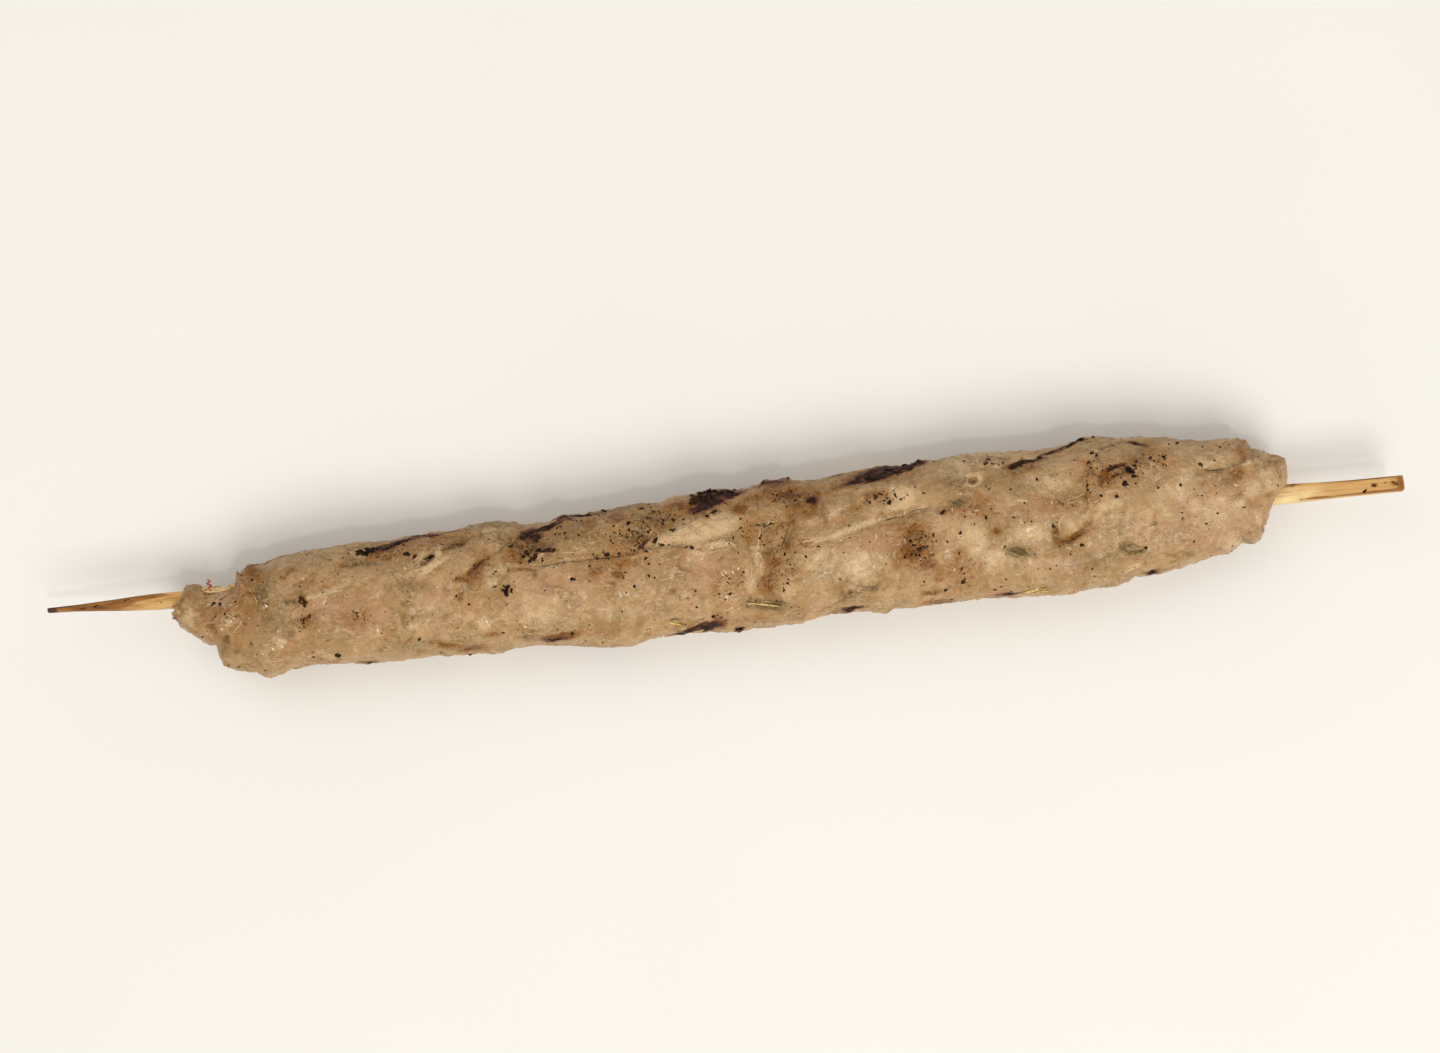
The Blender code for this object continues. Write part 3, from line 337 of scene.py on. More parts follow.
# The stick's browned, charred and greasy places, written as the meat's patches are.
STICK_BROWN = [
    (-119, 0.2, 4, 0.9, 0, 0.8), (-112.5, 0.5, 3.6, 0.6, 2, 0.9), (-115.5, 0, 2, 0.6, 0, 0.9),
    (-106.5, 1.2, 3, 0.4, 0, 0.7), (-109.5, -1.5, 4, 0.25, 0, 0.7), (119, -1.15, 6.5, 0.2, 0, 0.75),
    (124.6, 0.2, 0.6, 2, 0, 0.5), (119.8, 0.05, 0.5, 0.3, 0, 0.95), (123.6, 0.1, 0.7, 0.35, -35, 0.6),
    (105, 1.8, 1.6, 0.4, 0, 0.6), (110, -1.2, 3, 0.2, 0, 0.6), (-105.6, 0.4, 3.6, 0.5, 0, 0.25),
    (-102.6, 0.9, 1.4, 0.6, 0, 0.2),
]
STICK_CHAR = [
    (-124.7, 0.2, 1.1, 1.2, 0, 1.2), (-121, 0.9, 2.4, 0.25, 3, 0.7), (-114, 1.3, 4, 0.25, 2, 0.6),
    (-107, 1.6, 3, 0.2, 0, 0.5),
]
# Dark marks burnt into the stick, written as the crumbs are.
STICK_MARKS = [
    (117.95, -0.85, 0.3, 0.2, 20), (118.3, -0.6, 0.22, 0.12, 50), (117.7, -1, 0.2, 0.1, 0),
    (119.6, 0.1, 0.3, 0.14, 10), (119.9, -0.05, 0.2, 0.12, 0), (123.4, 0.3, 0.3, 0.1, -35),
    (124, -0.1, 0.25, 0.1, -40), (121.9, 0.35, 0.16, 0.1, 0), (-104.1, -0.1, 0.2, 0.1, 10),
    (-109.2, -1.35, 0.25, 0.08, 0), (-107, -1.4, 0.2, 0.07, 0), (-113, -1, 0.3, 0.07, 0),
    (-117, -0.75, 0.3, 0.07, 0), (-119.6, -0.5, 0.3, 0.06, 0), (-116.2, 0.3, 0.5, 0.12, 5),
    (-118.6, 0.1, 0.4, 0.1, 0), (-110.4, 0.9, 0.5, 0.08, 3), (-105.6, 1, 0.4, 0.07, 0),
    (104.8, 1.3, 0.3, 0.08, -5), (106.2, -1.2, 0.3, 0.07, 0),
]
STICK_FAT = [
    (103.4, -1, 3, 1.6, 10, 1), (107.4, -0.3, 2.6, 1, 0, 0.8), (-103.6, -0.9, 2.6, 0.7, 0, 0.25),
    (-93, 1.7, 4, 0.6, 0, 1),
]

# Black crumbs: where, the half length, the half width and the turn in degrees.
CRUMBS = [
    (-66.6, 5.4, 1, 0.8, 10), (-65.2, 5.8, 0.8, 0.65, -15), (-66, 5, 0.8, 0.5, 0),
    (-78.4, -2, 0.4, 0.75, -10), (-78, -2.8, 0.45, 0.6, 20), (-78.8, -2.4, 0.4, 0.25, 0),
    (-72.8, -12.8, 0.6, 0.42, 0), (-72.3, -12.9, 0.3, 0.3, 0), (-58.5, 4.4, 0.65, 0.45, -30),
    (-57, 3.8, 0.4, 0.3, 10), (-54, 3.5, 0.5, 0.4, 35), (-57.5, -11.4, 0.35, 0.3, 0),
    (-41, -4.2, 0.55, 0.4, 30), (-40.4, -3.3, 0.5, 0.3, 40), (-40.8, -4.7, 0.3, 0.45, 0),
    (-41.4, -3.9, 0.3, 0.25, 0), (-39.9, -4, 0.3, 0.25, 20), (-36.3, 2.4, 0.5, 0.4, 45),
    (-37, 1.9, 0.35, 0.3, 0), (-34.3, 2.7, 0.5, 0.35, 35), (-34.8, 1.9, 0.3, 0.5, -35),
    (-35.4, 1.2, 0.45, 0.25, 20), (-36, 0.9, 0.3, 0.2, 0), (-32.5, 2.7, 0.7, 0.3, 0),
    (-31.4, 2.5, 0.5, 0.2, 20), (-28.6, -3, 0.45, 0.3, -20), (-28.1, -3.2, 0.2, 0.25, 0),
    (-23.7, 0.35, 0.4, 0.3, 0), (-22, 0.8, 0.35, 0.35, 0), (-22.4, 1.3, 0.25, 0.2, 0),
    (-17.3, 6.2, 0.35, 0.35, 0), (-14.8, 8.6, 0.5, 0.2, 0), (-12.5, 7.8, 0.6, 0.2, 0),
    (-12.6, 2.6, 0.6, 0.25, 45), (-12.9, 2.3, 0.4, 0.25, 30), (-11.5, 1.6, 0.35, 0.25, 0),
    (-7.1, 0.8, 0.3, 0.25, 0), (-6.2, 0.6, 0.4, 0.35, 0), (-14.7, -0.6, 0.3, 0.3, 0),
    (-14.3, -1.6, 0.2, 0.25, 0), (-14.4, -3.8, 0.3, 0.25, 0), (-13.4, -4.2, 0.2, 0.2, 0),
    (-17.3, -5.5, 0.3, 0.25, 20), (-6.2, -7.4, 0.25, 0.2, 0), (-6.2, -10.4, 0.3, 0.25, 30),
    (-9.1, 4.1, 0.4, 0.25, 0), (-8.9, 5.9, 0.25, 0.25, 0), (-7.1, 5.9, 0.3, 0.25, 0),
    (-15, 3.6, 0.25, 0.25, 0), (-1.5, 6.7, 0.7, 0.25, 20), (-2.8, 6.1, 0.4, 0.2, 0),
    (-3.3, -12.3, 0.4, 0.3, 0), (-19.5, 0.8, 0.25, 0.25, 0), (-25.1, -1, 0.2, 0.2, 0),
    (-33.7, 0.8, 0.3, 0.2, 0), (-29.1, 5.5, 0.3, 0.25, 20), (-39.2, 3.9, 0.4, 0.2, 20),
    (-37.7, 0.8, 0.25, 0.2, 0), (7.5, 3.3, 0.4, 0.35, 0), (8.6, 3.6, 0.6, 0.2, 15),
    (30.7, 5.3, 0.45, 0.4, 0), (32, 6.6, 0.6, 0.2, -50), (28.4, 6.8, 0.35, 0.3, 0),
    (27.2, 5.8, 0.3, 0.25, 0), (29.4, 7.1, 0.3, 0.2, 0), (35.5, -3.7, 0.45, 0.4, 0),
    (34, -2, 0.3, 0.25, 0), (43.3, -1.4, 0.3, 0.25, 30), (40.7, -2.8, 0.25, 0.2, 0),
    (42.7, -5.1, 0.25, 0.2, 0), (43, -10.3, 0.5, 0.4, 35), (43.3, -9.9, 0.25, 0.25, 0),
    (39.5, -11.6, 0.35, 0.3, 0), (10.8, -7.6, 0.25, 0.25, 0), (2.9, -4.8, 0.25, 0.25, 0),
    (40.5, 2.7, 0.5, 0.3, 10), (48.2, 0.9, 0.4, 0.25, 0), (49.3, 6.1, 0.25, 0.2, 0),
    (55.5, 3, 0.2, 0.2, 0), (58.2, 7.1, 0.35, 0.2, -30), (60.5, -1.7, 0.35, 0.45, -10),
    (56.5, -0.6, 0.2, 0.15, 0), (65.2, -5.7, 0.4, 0.2, 0), (61.2, -5.6, 0.2, 0.15, 0),
    (67.3, 5.1, 0.35, 0.2, 0), (67.3, 4.2, 0.3, 0.25, 0), (68, 9.2, 0.3, 0.3, 0),
    (68.7, 10.9, 0.4, 0.3, 0), (69.5, 10.4, 0.4, 0.25, -30), (68.3, 8.2, 0.25, 0.2, 0),
    (72.5, 2.6, 0.4, 0.25, 20), (74.3, 4.6, 0.45, 0.5, 0), (75.1, 7.1, 0.6, 0.4, -40),
    (75.8, 6.8, 0.4, 0.3, 0), (76.3, 5.9, 0.5, 0.2, -40), (76.3, 7.8, 0.35, 0.25, -30),
    (76.7, 8.6, 0.25, 0.2, 0), (73, 6.6, 0.3, 0.2, 0), (79.3, 8.9, 0.35, 0.25, 0),
    (81.7, 8.9, 0.4, 0.25, -20), (84.6, 11.3, 0.3, 0.25, 0), (82.9, 11.1, 0.2, 0.2, 0),
    (84.4, 3.5, 0.3, 0.3, 0), (88.5, 6.9, 0.4, 0.3, -20), (91, 7.4, 0.2, 0.2, 0),
    (92.2, 9.7, 0.25, 0.25, 0), (88.4, -4, 0.3, 0.2, -20), (77.7, -11.8, 0.5, 0.3, 0),
    (76.9, -7.4, 0.35, 0.25, 0), (48.6, -12.4, 0.3, 0.25, 0), (53.8, -13.4, 0.3, 0.2, 0),
    (-5.2, -14.8, 0.4, 0.25, 0), (-9.9, -14.9, 0.5, 0.25, 0), (1.2, -15.1, 0.8, 0.3, 0),
    (-4.7, 9.6, 0.7, 0.8, 20), (-5.3, 8.8, 0.6, 0.5, 40), (2.6, 10.3, 0.5, 0.4, 0),
    (-3.7, 10.2, 0.6, 0.65, 0), (-2.1, 10.5, 0.6, 0.6, 0), (-1, 10.4, 0.5, 0.45, 20),
    (-3, 9.4, 0.7, 0.5, 10), (-1.4, 9.5, 0.6, 0.4, 0), (0, 10.1, 0.7, 0.45, 0), (1.6, 10.2, 0.7, 0.3, 0),
    (8, 11.3, 0.4, 0.35, 0), (12.7, 11.6, 0.3, 0.3, 0), (31, 11.4, 0.9, 0.3, 15),
    (34.6, 12.3, 0.8, 0.3, 5), (36.6, 12.3, 0.6, 0.3, 0), (27, 10.2, 0.7, 0.3, 20),
    (66.8, 13.6, 0.6, 0.25, 10), (69.2, 13.8, 0.4, 0.2, 0), (59, 11, 0.5, 0.3, 0),
    (55.6, 10.6, 0.6, 0.3, 10), (-93.4, -1.5, 0.35, 0.3, 0), (95.7, 11.6, 0.4, 0.25, 0),
    (-29.4, -13, 0.4, 0.25, 0), (-48.5, -15.1, 0.4, 0.2, 10), (66.8, -10.3, 0.2, 0.2, 0),
    (-24.4, 8.3, 0.3, 0.2, 0), (-21.6, 8.9, 0.5, 0.2, 5), (-30.9, 8.2, 0.3, 0.2, 0),
    (-60, 6.4, 0.6, 0.25, 12), (-94.6, -1.3, 0.45, 0.4, -30),
]
# Where fine specks gather: the middle, the spread along and across, and how many.
SPECK_CLUSTERS = [
    (-78, -6.5, 1.6, 1.2, 24), (-68, -6.5, 2.4, 1.6, 26), (-12, 6, 5, 2.4, 110), (-17, 3, 4.5, 2.4, 80),
    (-35, 4, 4, 2.6, 84), (-29, 6.4, 2.6, 1.8, 36), (29.6, 6.4, 2.6, 1.2, 46), (74.4, 7.4, 3.2, 2, 46),
    (56, 10.3, 3.4, 0.7, 40), (-61, 6.2, 4, 1.2, 34), (-41, -4, 1.4, 1.3, 20), (-20, -3, 1.6, 1.4, 24),
    (35.6, -3, 2.6, 3.2, 80), (43, -8, 3.4, 3.4, 16), (9, -5, 3.6, 4, 36), (8, 2.6, 5, 3, 50),
    (13, 8.2, 5, 1.6, 44), (67.8, 5.6, 1.9, 3, 14), (-92, -2, 5, 5, 24), (50, 11.2, 2.6, 0.8, 24),
    (-6, -13.4, 4, 0.8, 26), (-1, 8.6, 3, 1, 36), (29, 10.4, 5, 1, 50), (46, 3, 4, 2, 14),
    (-53, 6, 5, 1.6, 20), (80, 8, 4, 2.4, 24), (0, -7, 2.6, 4, 18), (-22, 0.4, 5, 0.8, 24),
    (62, 2.4, 3, 1.4, 12),
]
SCATTERED_SPECKS = 1600
SPECK_REACH, SPECK_SPREAD = 0.07, 0.15
CRUMB_HEIGHT, CRUMB_UNEVENNESS, CRUMB_GRAIN = 0.22 * MM, 1.3, 1.8
HIDDEN_BEADS, BEAD_HEIGHT = 120, 0.09 * MM
# A point this far from the stick's axis is outside the meat.
OUTSIDE = 40.0 * MM

# Dry herb straws, as the points that each runs through and its thickness.
STRAWS = [
    ([(3.2, -10.5), (6, -11), (9, -11.7)], 0.4), ([(5.2, -10.6), (6.4, -10.5), (7.6, -10.8)], 0.16),
    ([(-12, -12.5), (-10.6, -12.9), (-9, -13.4)], 0.4), ([(53, -13.4), (55.6, -13.1), (58, -12.9)], 0.4),
    ([(55, -13.7), (57, -13.4), (58.4, -13.5)], 0.25),
    ([(72.7, -11.3), (73.8, -10.9), (74.8, -10.5)], 0.32), ([(7.2, 3.2), (8.8, 3.8), (10.4, 4.2)], 0.2),
    ([(-5, 4), (-2, 5), (1, 5.4)], 0.15),
]
# Bits of green herb and a red curl of spice, written the same way. The curl also has heights.
GREEN_BITS = [
    ([(-11.3, -12.3), (-10.4, -12.1), (-9.8, -12.4)], 0.35),
    ([(52, -5.4), (53, -5.9), (54.2, -5.8)], 0.3), ([(53.6, -6.6), (55, -6.4), (56, -7)], 0.26),
    ([(72.6, -7), (74, -7.9), (75.6, -8.1), (76.6, -7.6)], 0.3),
    ([(-17.9, 3), (-17.4, 3.4), (-16.9, 3.1)], 0.4), ([(42.6, 4.2), (43.6, 4.6), (44.4, 4.2)], 0.3),
    ([(2.8, -10.1), (3.6, -10.3), (4.6, -10.9)], 0.34), ([(3.6, -9.4), (3.9, -10)], 0.26),
    ([(8.2, -10.9), (9.2, -10.8), (10.2, -11.2)], 0.26),
    ([(4.6, -11.5), (6.6, -11.8), (8.8, -12.3)], 0.16), ([(2.6, -11), (3.4, -11.5)], 0.2),
    ([(6.6, 3.3), (7.6, 3.5), (8.4, 3.2)], 0.3), ([(51.6, -5.8), (52.4, -6.6), (53.4, -6.9)], 0.2),
    ([(-16.2, 4.6), (-15.2, 3.2)], 0.2), ([(-13.6, 1.6), (-12.4, 2)], 0.2),
]
RED_CURL = (
    [(-94.5, 0.9, 1.8), (-94.9, 1.6, 1.8), (-94.3, 2, 1.9),
     (-95.1, 2.5, 2), (-94.4, 2.9, 2.2), (-95, 3.3, 2.2)],
    0.42,
)
# Pale folds of the skin, as the points that each runs through and its thickness. The four streaks running
# down to the right between x 84 and 96 are painted highlights, and the ridge beside the valley near x 5 is
# partly pale skin, partly painted highlight.
PALE_FOLDS_AND_HIGHLIGHTS = [
    ([(-3.5, -0.7), (-3, 0.3), (-1.9, 0.9), (-0.3, 1.1), (1.1, 0.8), (2, 0.3)], 0.36),
    ([(-4.9, -0.7), (-3.4, -0.8), (-1.6, -0.4), (0.2, -0.3)], 0.26),
    ([(-1.8, 0.4), (-0.4, 0.6), (0.8, 0.3)], 0.22),
    ([(-57.4, 1.1), (-55.5, 1.5), (-53.8, 2.2), (-52.8, 3.3), (-52.7, 4.6)], 0.34),
    ([(-56.5, 2.5), (-55.5, 3.7), (-54.2, 4.4)], 0.26), ([(-56, 0.8), (-54.2, 1.2), (-53, 2)], 0.2),
    ([(6.8, 2.6), (6.2, 0.6), (5.7, -1.2), (5.4, -3)], 0.26),
    ([(19, 0.3), (21.6, 0.8), (24, 1.4), (26.6, 2.4)], 0.3),
    ([(45.2, 7.2), (45.4, 8.4), (46.4, 8.9), (47.4, 8.6)], 0.2),
    ([(45.3, 7.1), (46.4, 6.8), (47.4, 7.2)], 0.2), ([(-10, 2.6), (-8.2, 2.9), (-6.4, 3.4)], 0.26),
    ([(-9, 3.6), (-7, 4.2), (-5.6, 5), (-4.6, 5.4)], 0.3),
    ([(14, -0.3), (16, -0.2), (18.4, -0.5)], 0.26),
    ([(-96.4, 1.2, 1.4), (-95, 1, 1.75), (-93.4, 0.9, 1.4),
      (-91.8, 1.05, 1.7), (-90.4, 1, 1.4), (-89, 1.3, 1.8)], 0.55),
    ([(-89.6, 1.5, 2.2), (-90.5, 1.72, 1.2), (-90.1, 1.7, 0.2), (-90.7, 1.6, -0.9)], 0.9),
    ([(-96.2, 1.5, 1.6), (-95.3, 1.72, 0.8), (-95.8, 1.72, -0.2), (-95.2, 1.6, -1)], 0.8),
    ([(-91.8, 1.6, -1.5), (-91.4, 1.72, -0.8), (-90.6, 1.66, -1.2)], 0.7),
    ([(-94.8, 1.6, -1.5), (-93.9, 1.7, -1), (-93.2, 1.6, -1.5)], 0.7),
    ([(-75, -2), (-73.2, -1.3), (-70.2, -1)], 0.24), ([(33, 4.3), (34.6, 4.7), (36.2, 4.4)], 0.2),
    ([(61.6, -2.9), (61.4, -1.4), (62.2, -0.2), (63.6, 0.2)], 0.26),
    ([(4.6, -3.4), (4.4, -5), (4, -6.6)], 0.22), ([(91, 7.6), (92.6, 7.3), (93.8, 7.6)], 0.24),
    ([(95.6, 6), (97.2, 6.4), (98.6, 7.2)], 0.24), ([(86, -0.6), (88, -1.8), (89.6, -2.6)], 0.2),
    ([(88.6, -1), (91, -2.2), (93.4, -3)], 0.22), ([(84.6, -3), (87.4, -4.2), (90.4, -5.2)], 0.2),
    ([(92.4, -0.4), (94, -1.4), (95.2, -2.6)], 0.2), ([(66.2, -0.9), (67.2, 0.4), (68.4, 1.8)], 0.2),
    ([(-38.4, -10.6), (-36.8, -11.3), (-34.8, -11.5)], 0.24),
    ([(-36.6, -12.2), (-35, -12.4), (-33.4, -12)], 0.18), ([(-34.6, 1.2), (-34, 2), (-33.2, 2.2)], 0.2),
    ([(20.6, -0.9), (22.4, -0.2), (24, 0.1)], 0.2), ([(-14, 3), (-13.2, 4.2), (-12.6, 5.2)], 0.18),
    ([(-30.4, 2), (-28, 1.8), (-25.6, 1.4)], 0.16), ([(-91.6, -7), (-90.2, -5.8), (-89.6, -4.6)], 0.2),
    ([(-88.2, 1.2), (-87, -0.6), (-86.4, -2.4)], 0.18),
    ([(-86.6, -12.6), (-84, -12.9), (-81.6, -12.6)], 0.2),
]
# Thin charred lines, written the same way. Those that follow the creases are partly char, partly painted
# shade in the creases.
CHARRED_AND_CREASE_SHADE_LINES = [
    ([(-29.2, 8.7), (-26.6, 8.5), (-24.2, 8.2), (-22.2, 8.6), (-20.6, 8.9)], 0.22),
    ([(-64, 6), (-61.6, 6.5), (-59.4, 6.8), (-57, 7)], 0.26),
    ([(-32.6, 6.4), (-31.4, 6.9), (-30, 7.3), (-28.8, 8)], 0.24),
    ([(20, 11), (21.6, 11.2), (23.2, 11.4)], 0.24),
    ([(60, 11.6), (62, 12), (64, 12.6), (67, 13.5), (69.8, 13.7)], 0.24),
    ([(-70, -14.4), (-67.6, -14.6), (-65.4, -14.5)], 0.2), ([(71, 7.1), (72.6, 7.8), (74.3, 8.1)], 0.24),
    ([(75.2, 12.3), (77, 11.9), (79, 11.3)], 0.2), ([(50, -13.2), (52.4, -13.4), (54.8, -13.4)], 0.22),
    ([(25.6, 9), (28, 9.6), (30.6, 10.2), (33.6, 11.2), (37.2, 12.2)], 0.26),
    ([(72.6, -6.7), (73.4, -7.6), (75, -8.2), (76.6, -7.7)], 0.2),
    ([(60.5, -2.2), (60.7, -4), (62, -4.8), (64, -4.5), (65.8, -3.6)], 0.16),
    ([(-36.2, 0), (-33.4, -0.2), (-30.4, 0.1), (-27, 0.1)], 0.12),
    ([(-25.8, 0.1), (-22.4, 0.2), (-19, 0.3)], 0.14), ([(29.2, 2.1), (31.4, 2.5), (33.6, 2.7)], 0.14),
    ([(34, 3.1), (35.6, 3.6), (37.4, 3.7)], 0.14), ([(88.4, 6), (90.2, 5.6), (92.2, 5.7)], 0.14),
    ([(-37, 2.6), (-36.2, 2), (-35.4, 1.2)], 0.22), ([(-34.4, 2.4), (-33.9, 3), (-33.4, 3.4)], 0.2),
    ([(-32.9, 2.7), (-32.1, 2.6), (-31.3, 2.9)], 0.2), ([(-46.8, 0), (-45.6, 1.2), (-44.4, 2.2)], 0.18),
    ([(-47.8, -0.8), (-46.8, 0.4)], 0.14), ([(-48.9, -2.2), (-48.6, -3.4)], 0.12),
    ([(-16, 2), (-15.2, 1.4), (-14.5, 1)], 0.18), ([(-55.2, 3), (-54.4, 3.5), (-53.8, 3.8)], 0.22),
    ([(-88.4, 4.4), (-87, 5), (-84.6, 5.3), (-81.6, 6)], 0.18),
    ([(-77.9, -1.6), (-78, -2.4), (-78.5, -3.2)], 0.24),
    ([(-79.2, -6.2), (-78.2, -5.7), (-76.9, -5.1)], 0.16),
    ([(-53.2, 7.4), (-50.4, 7.6), (-48, 7.9)], 0.16),
    ([(-10, -14.9), (-7.6, -14.2), (-5.4, -13.4)], 0.24), ([(-7, -14.6), (-4.8, -14), (-3.2, -13)], 0.2),
    ([(0.2, -14.9), (1.2, -15), (2.2, -14.9)], 0.3), ([(-0.8, 6.9), (-1.6, 6.8), (-2.4, 6.5)], 0.2),
    ([(34.6, -1), (35.6, -2.2), (35.8, -3.4)], 0.14), ([(33.4, -3.6), (34.4, -4.6), (35.8, -5)], 0.12),
    ([(36.4, -2), (37, -3.8), (37.2, -5.6)], 0.1), ([(32.6, -0.4), (33.2, -1.8), (33.4, -3)], 0.1),
    ([(67.2, 7.2), (67.3, 5.6), (67.2, 4.2)], 0.12), ([(6.6, 6), (6.8, 7.4), (6.4, 8.6)], 0.1),
    ([(12.2, 3.4), (11, 0.6), (10, -1.4)], 0.12), ([(7.9, -5), (7.4, -6.8), (7.2, -8.4)], 0.1),
    ([(-35.2, -13.4), (-33, -13.8), (-30.8, -13.6)], 0.22),
]
# Where fine pale fibres gather: the middle, the spread along and across, and how many. The cluster near the
# sawn end also paints the streaky highlights there.
PALE_FIBRES_AND_HIGHLIGHTS = [
    (89, -5, 6, 3.2, 50), (56, -2.4, 3, 2, 30), (66, 1.6, 4, 2.4, 24), (-8, 3.2, 4.4, 1, 20),
    (0, -8, 2.4, 3, 24), (-35, -9, 4, 2.6, 30), (70, -3.6, 3, 1.6, 20), (-92, -5, 3, 3, 12),
    (20, -4, 6, 4, 24), (-58, 2.6, 4, 1.6, 16), (97, 2, 2.6, 3, 20), (46, -5, 2.4, 3, 20),
]
# How a strand is drawn: its sides, the cuts for each given point, how far ahead and back it looks for its
# direction, and how thick its ends are as a share of its middle.
STRAND_SIDES, STRAND_CUTS, STRAND_AHEAD, STRAND_END = 7, 5, 0.08, 0.4

# Patches by chance on the sides that the picture hides: the mask, its strength, its size and its stretch.
CHANCE_PATCHES = [
    ('brown', 1.4, 8, 12), ('pale', 1.2, 7, 14), ('olive', 1.1, 9, 16), ('pink', 1.1, 10, 18),
]
# How each mask tints the mince: its share, its tint, the scale, raggedness and softness of its edge, and
# how strong it is at most.
MINCE_PATCHES = [
    ("olive", 1.0, (116, 90, 42), 420.0, 0.9, 1.1, 0.7),
    ("pink", 1.0, (188, 138, 106), 300.0, 0.6, 1.2, 0.6),
    ("pale", 1.0, (226, 194, 151), 560.0, 1.25, 0.65, 0.65),
    ("brown", 1.0, (148, 92, 18), 380.0, 1.0, 1.0, 0.92),
    ("brown", 0.6, (86, 48, 10), 1300.0, 1.9, 0.3, 0.6),
    ("olive", 0.6, (64, 46, 16), 1500.0, 1.7, 0.25, 0.5),
]
WARM_WHITE = (1.0, 0.985, 0.96)


def camera_foot():
    """The point of the stick's plane, in millimetres, that the camera looks straight down on."""
    return -(Matrix.Rotation(-PICTURE_TURN, 2) @ STICK_IN_PICTURE) / MM


def as_seen(points):
    """Where the camera sees points, given in millimetres, against the stick's plane."""
    foot = np.array(camera_foot())
    nearer = EYE_HEIGHT / (EYE_HEIGHT - (points[:, 2:] - AXIS_Z / MM))
    return foot + (points[:, :2] - foot) * nearer


def place(x, y):
    """A place seen against the stick's plane, in millimetres, as a point in the row's frame."""
    return Vector((AXIS_X + x * MM, AXIS_Y + y * MM, AXIS_Z))


def patch_mask(points, patches):
    """How strongly soft oval patches cover points given as an array of x and y in millimetres."""
    total = np.zeros(len(points))
    for x, y, half_length, half_width, turn, strength in patches:
        c, s = math.cos(math.radians(turn)), math.sin(math.radians(turn))
        across, up = points[:, 0] - x, points[:, 1] - y
        along = (across * c + up * s) / half_length
        aside = (up * c - across * s) / half_width
        total = np.maximum(total, strength * np.exp(-PATCH_FALLOFF * (along**2 + aside**2)))
    return total


def near_path(points, path, half_width):
    """How near points given as an array of x and y are to a line: 1 on it, fading past its half width."""
    best = np.full(len(points), np.inf)
    for start, end in zip(path, path[1:]):
        a, b = np.array(start), np.array(end)
        along = np.clip((points - a) @ (b - a) / ((b - a) @ (b - a)), 0, 1)
        best = np.minimum(best, np.linalg.norm(points - a - along[:, None] * (b - a), axis=1))
    return np.exp(-((best / half_width) ** 2))


def noise_at(points, size, shift):
    """Smooth noise at points in millimetres, given how large its lumps are and which stretch of it to use."""
    offset = Vector((shift, 2 * shift, -shift))
    return np.array([noise.noise(Vector(p) / size + offset) for p in points])


def granules_at(points, size):
    """Rounded granules side by side: 1 at the middle of each and 0 where two meet."""
    heights = []
    for p in points:
        near = noise.voronoi(Vector(p) / size)[0]
        heights.append(min(1.0, GRANULE_STEEPNESS * (near[1] - near[0])))
    return np.array(heights)


def step_up(values, low, high):
    """0 below low and 1 above high, with a smooth step between."""
    t = np.clip((values - low) / (high - low), 0, 1)
    return t * t * (3 - 2 * t)


def in_scene(name, data):
    """A new object in the scene, from a mesh, a light or a camera."""
    thing = bpy.data.objects.new(name, data)
    bpy.context.scene.collection.objects.link(thing)
    return thing


def mesh_from(name, shape, material):
    """A smooth mesh from a bmesh, with its material."""
    mesh = bpy.data.meshes.new(name)
    shape.to_mesh(mesh)
    shape.free()
    mesh.shade_smooth()
    mesh.materials.append(material)
    return mesh


def new_piece(name, shape, material):
    """A piece of the kebab from a bmesh, riding with the one body."""
    piece = in_scene(name, mesh_from(name, shape, material))
    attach(piece, "root")
    return piece


def faces_of(piece):
    """A search tree of a piece's faces."""
    corners = [v.co.copy() for v in piece.data.vertices]
    return BVHTree.FromPolygons(corners, [tuple(p.vertices) for p in piece.data.polygons])


def applied(piece):
    """Bakes a piece's modifiers into its mesh."""
    graph = bpy.context.evaluated_depsgraph_get()
    baked = bpy.data.meshes.new_from_object(piece.evaluated_get(graph))
    piece.modifiers.clear()
    piece.data = baked
    baked.name = piece.name


# Node helpers

def group(name, inputs, outputs):
    """An empty shader node group with named sockets, and its input and output nodes."""
    tree = bpy.data.node_groups.new(name, "ShaderNodeTree")
    for label, kind, value in inputs:
        socket = tree.interface.new_socket(name=label, in_out="INPUT", socket_type=kind)
        if value is not None:
            socket.default_value = value
    for label, kind in outputs:
        tree.interface.new_socket(name=label, in_out="OUTPUT", socket_type=kind)
    return tree, tree.nodes.new("NodeGroupInput"), tree.nodes.new("NodeGroupOutput")


def feed(tree, node, values):
    """Feeds a node's sockets, named or numbered, with values or with other nodes' outputs."""
    for name, value in values.items():
        if isinstance(value, bpy.types.NodeSocket):
            tree.links.new(value, node.inputs[name])
        else:
            node.inputs[name].default_value = value


def add_node(tree, kind, values, **settings):
    """A new node with its settings made and its sockets fed: its outputs."""
    node = tree.nodes.new(kind)
    for name, setting in settings.items():
        setattr(node, name, setting)
    feed(tree, node, values)
    return node.outputs


def math_node(tree, operation, first, second=0.0, third=0.0, clamp=False):
    """One operation on up to three values or outputs."""
    values = {0: first, 1: second, 2: third}
    return add_node(tree, "ShaderNodeMath", values, operation=operation, use_clamp=clamp)[0]


def times(tree, first, second, clamp=False):
    """One value or output times another."""
    return math_node(tree, "MULTIPLY", first, second, clamp=clamp)


def mix_colour(tree, share, first, second):
    """The first colour, with a share of the second mixed in."""
    return add_node(tree, "ShaderNodeMix", {"Factor": share, 6: first, 7: second}, data_type="RGBA")[2]


def noise_node(tree, vector, scale, detail=3.0, roughness=0.55, distortion=0.0):
    """Cloudy noise from 0 to 1."""
    values = {"Vector": vector, "Scale": scale, "Detail": detail}
    values.update({"Roughness": roughness, "Distortion": distortion})
    return add_node(tree, "ShaderNodeTexNoise", values)["Fac"]


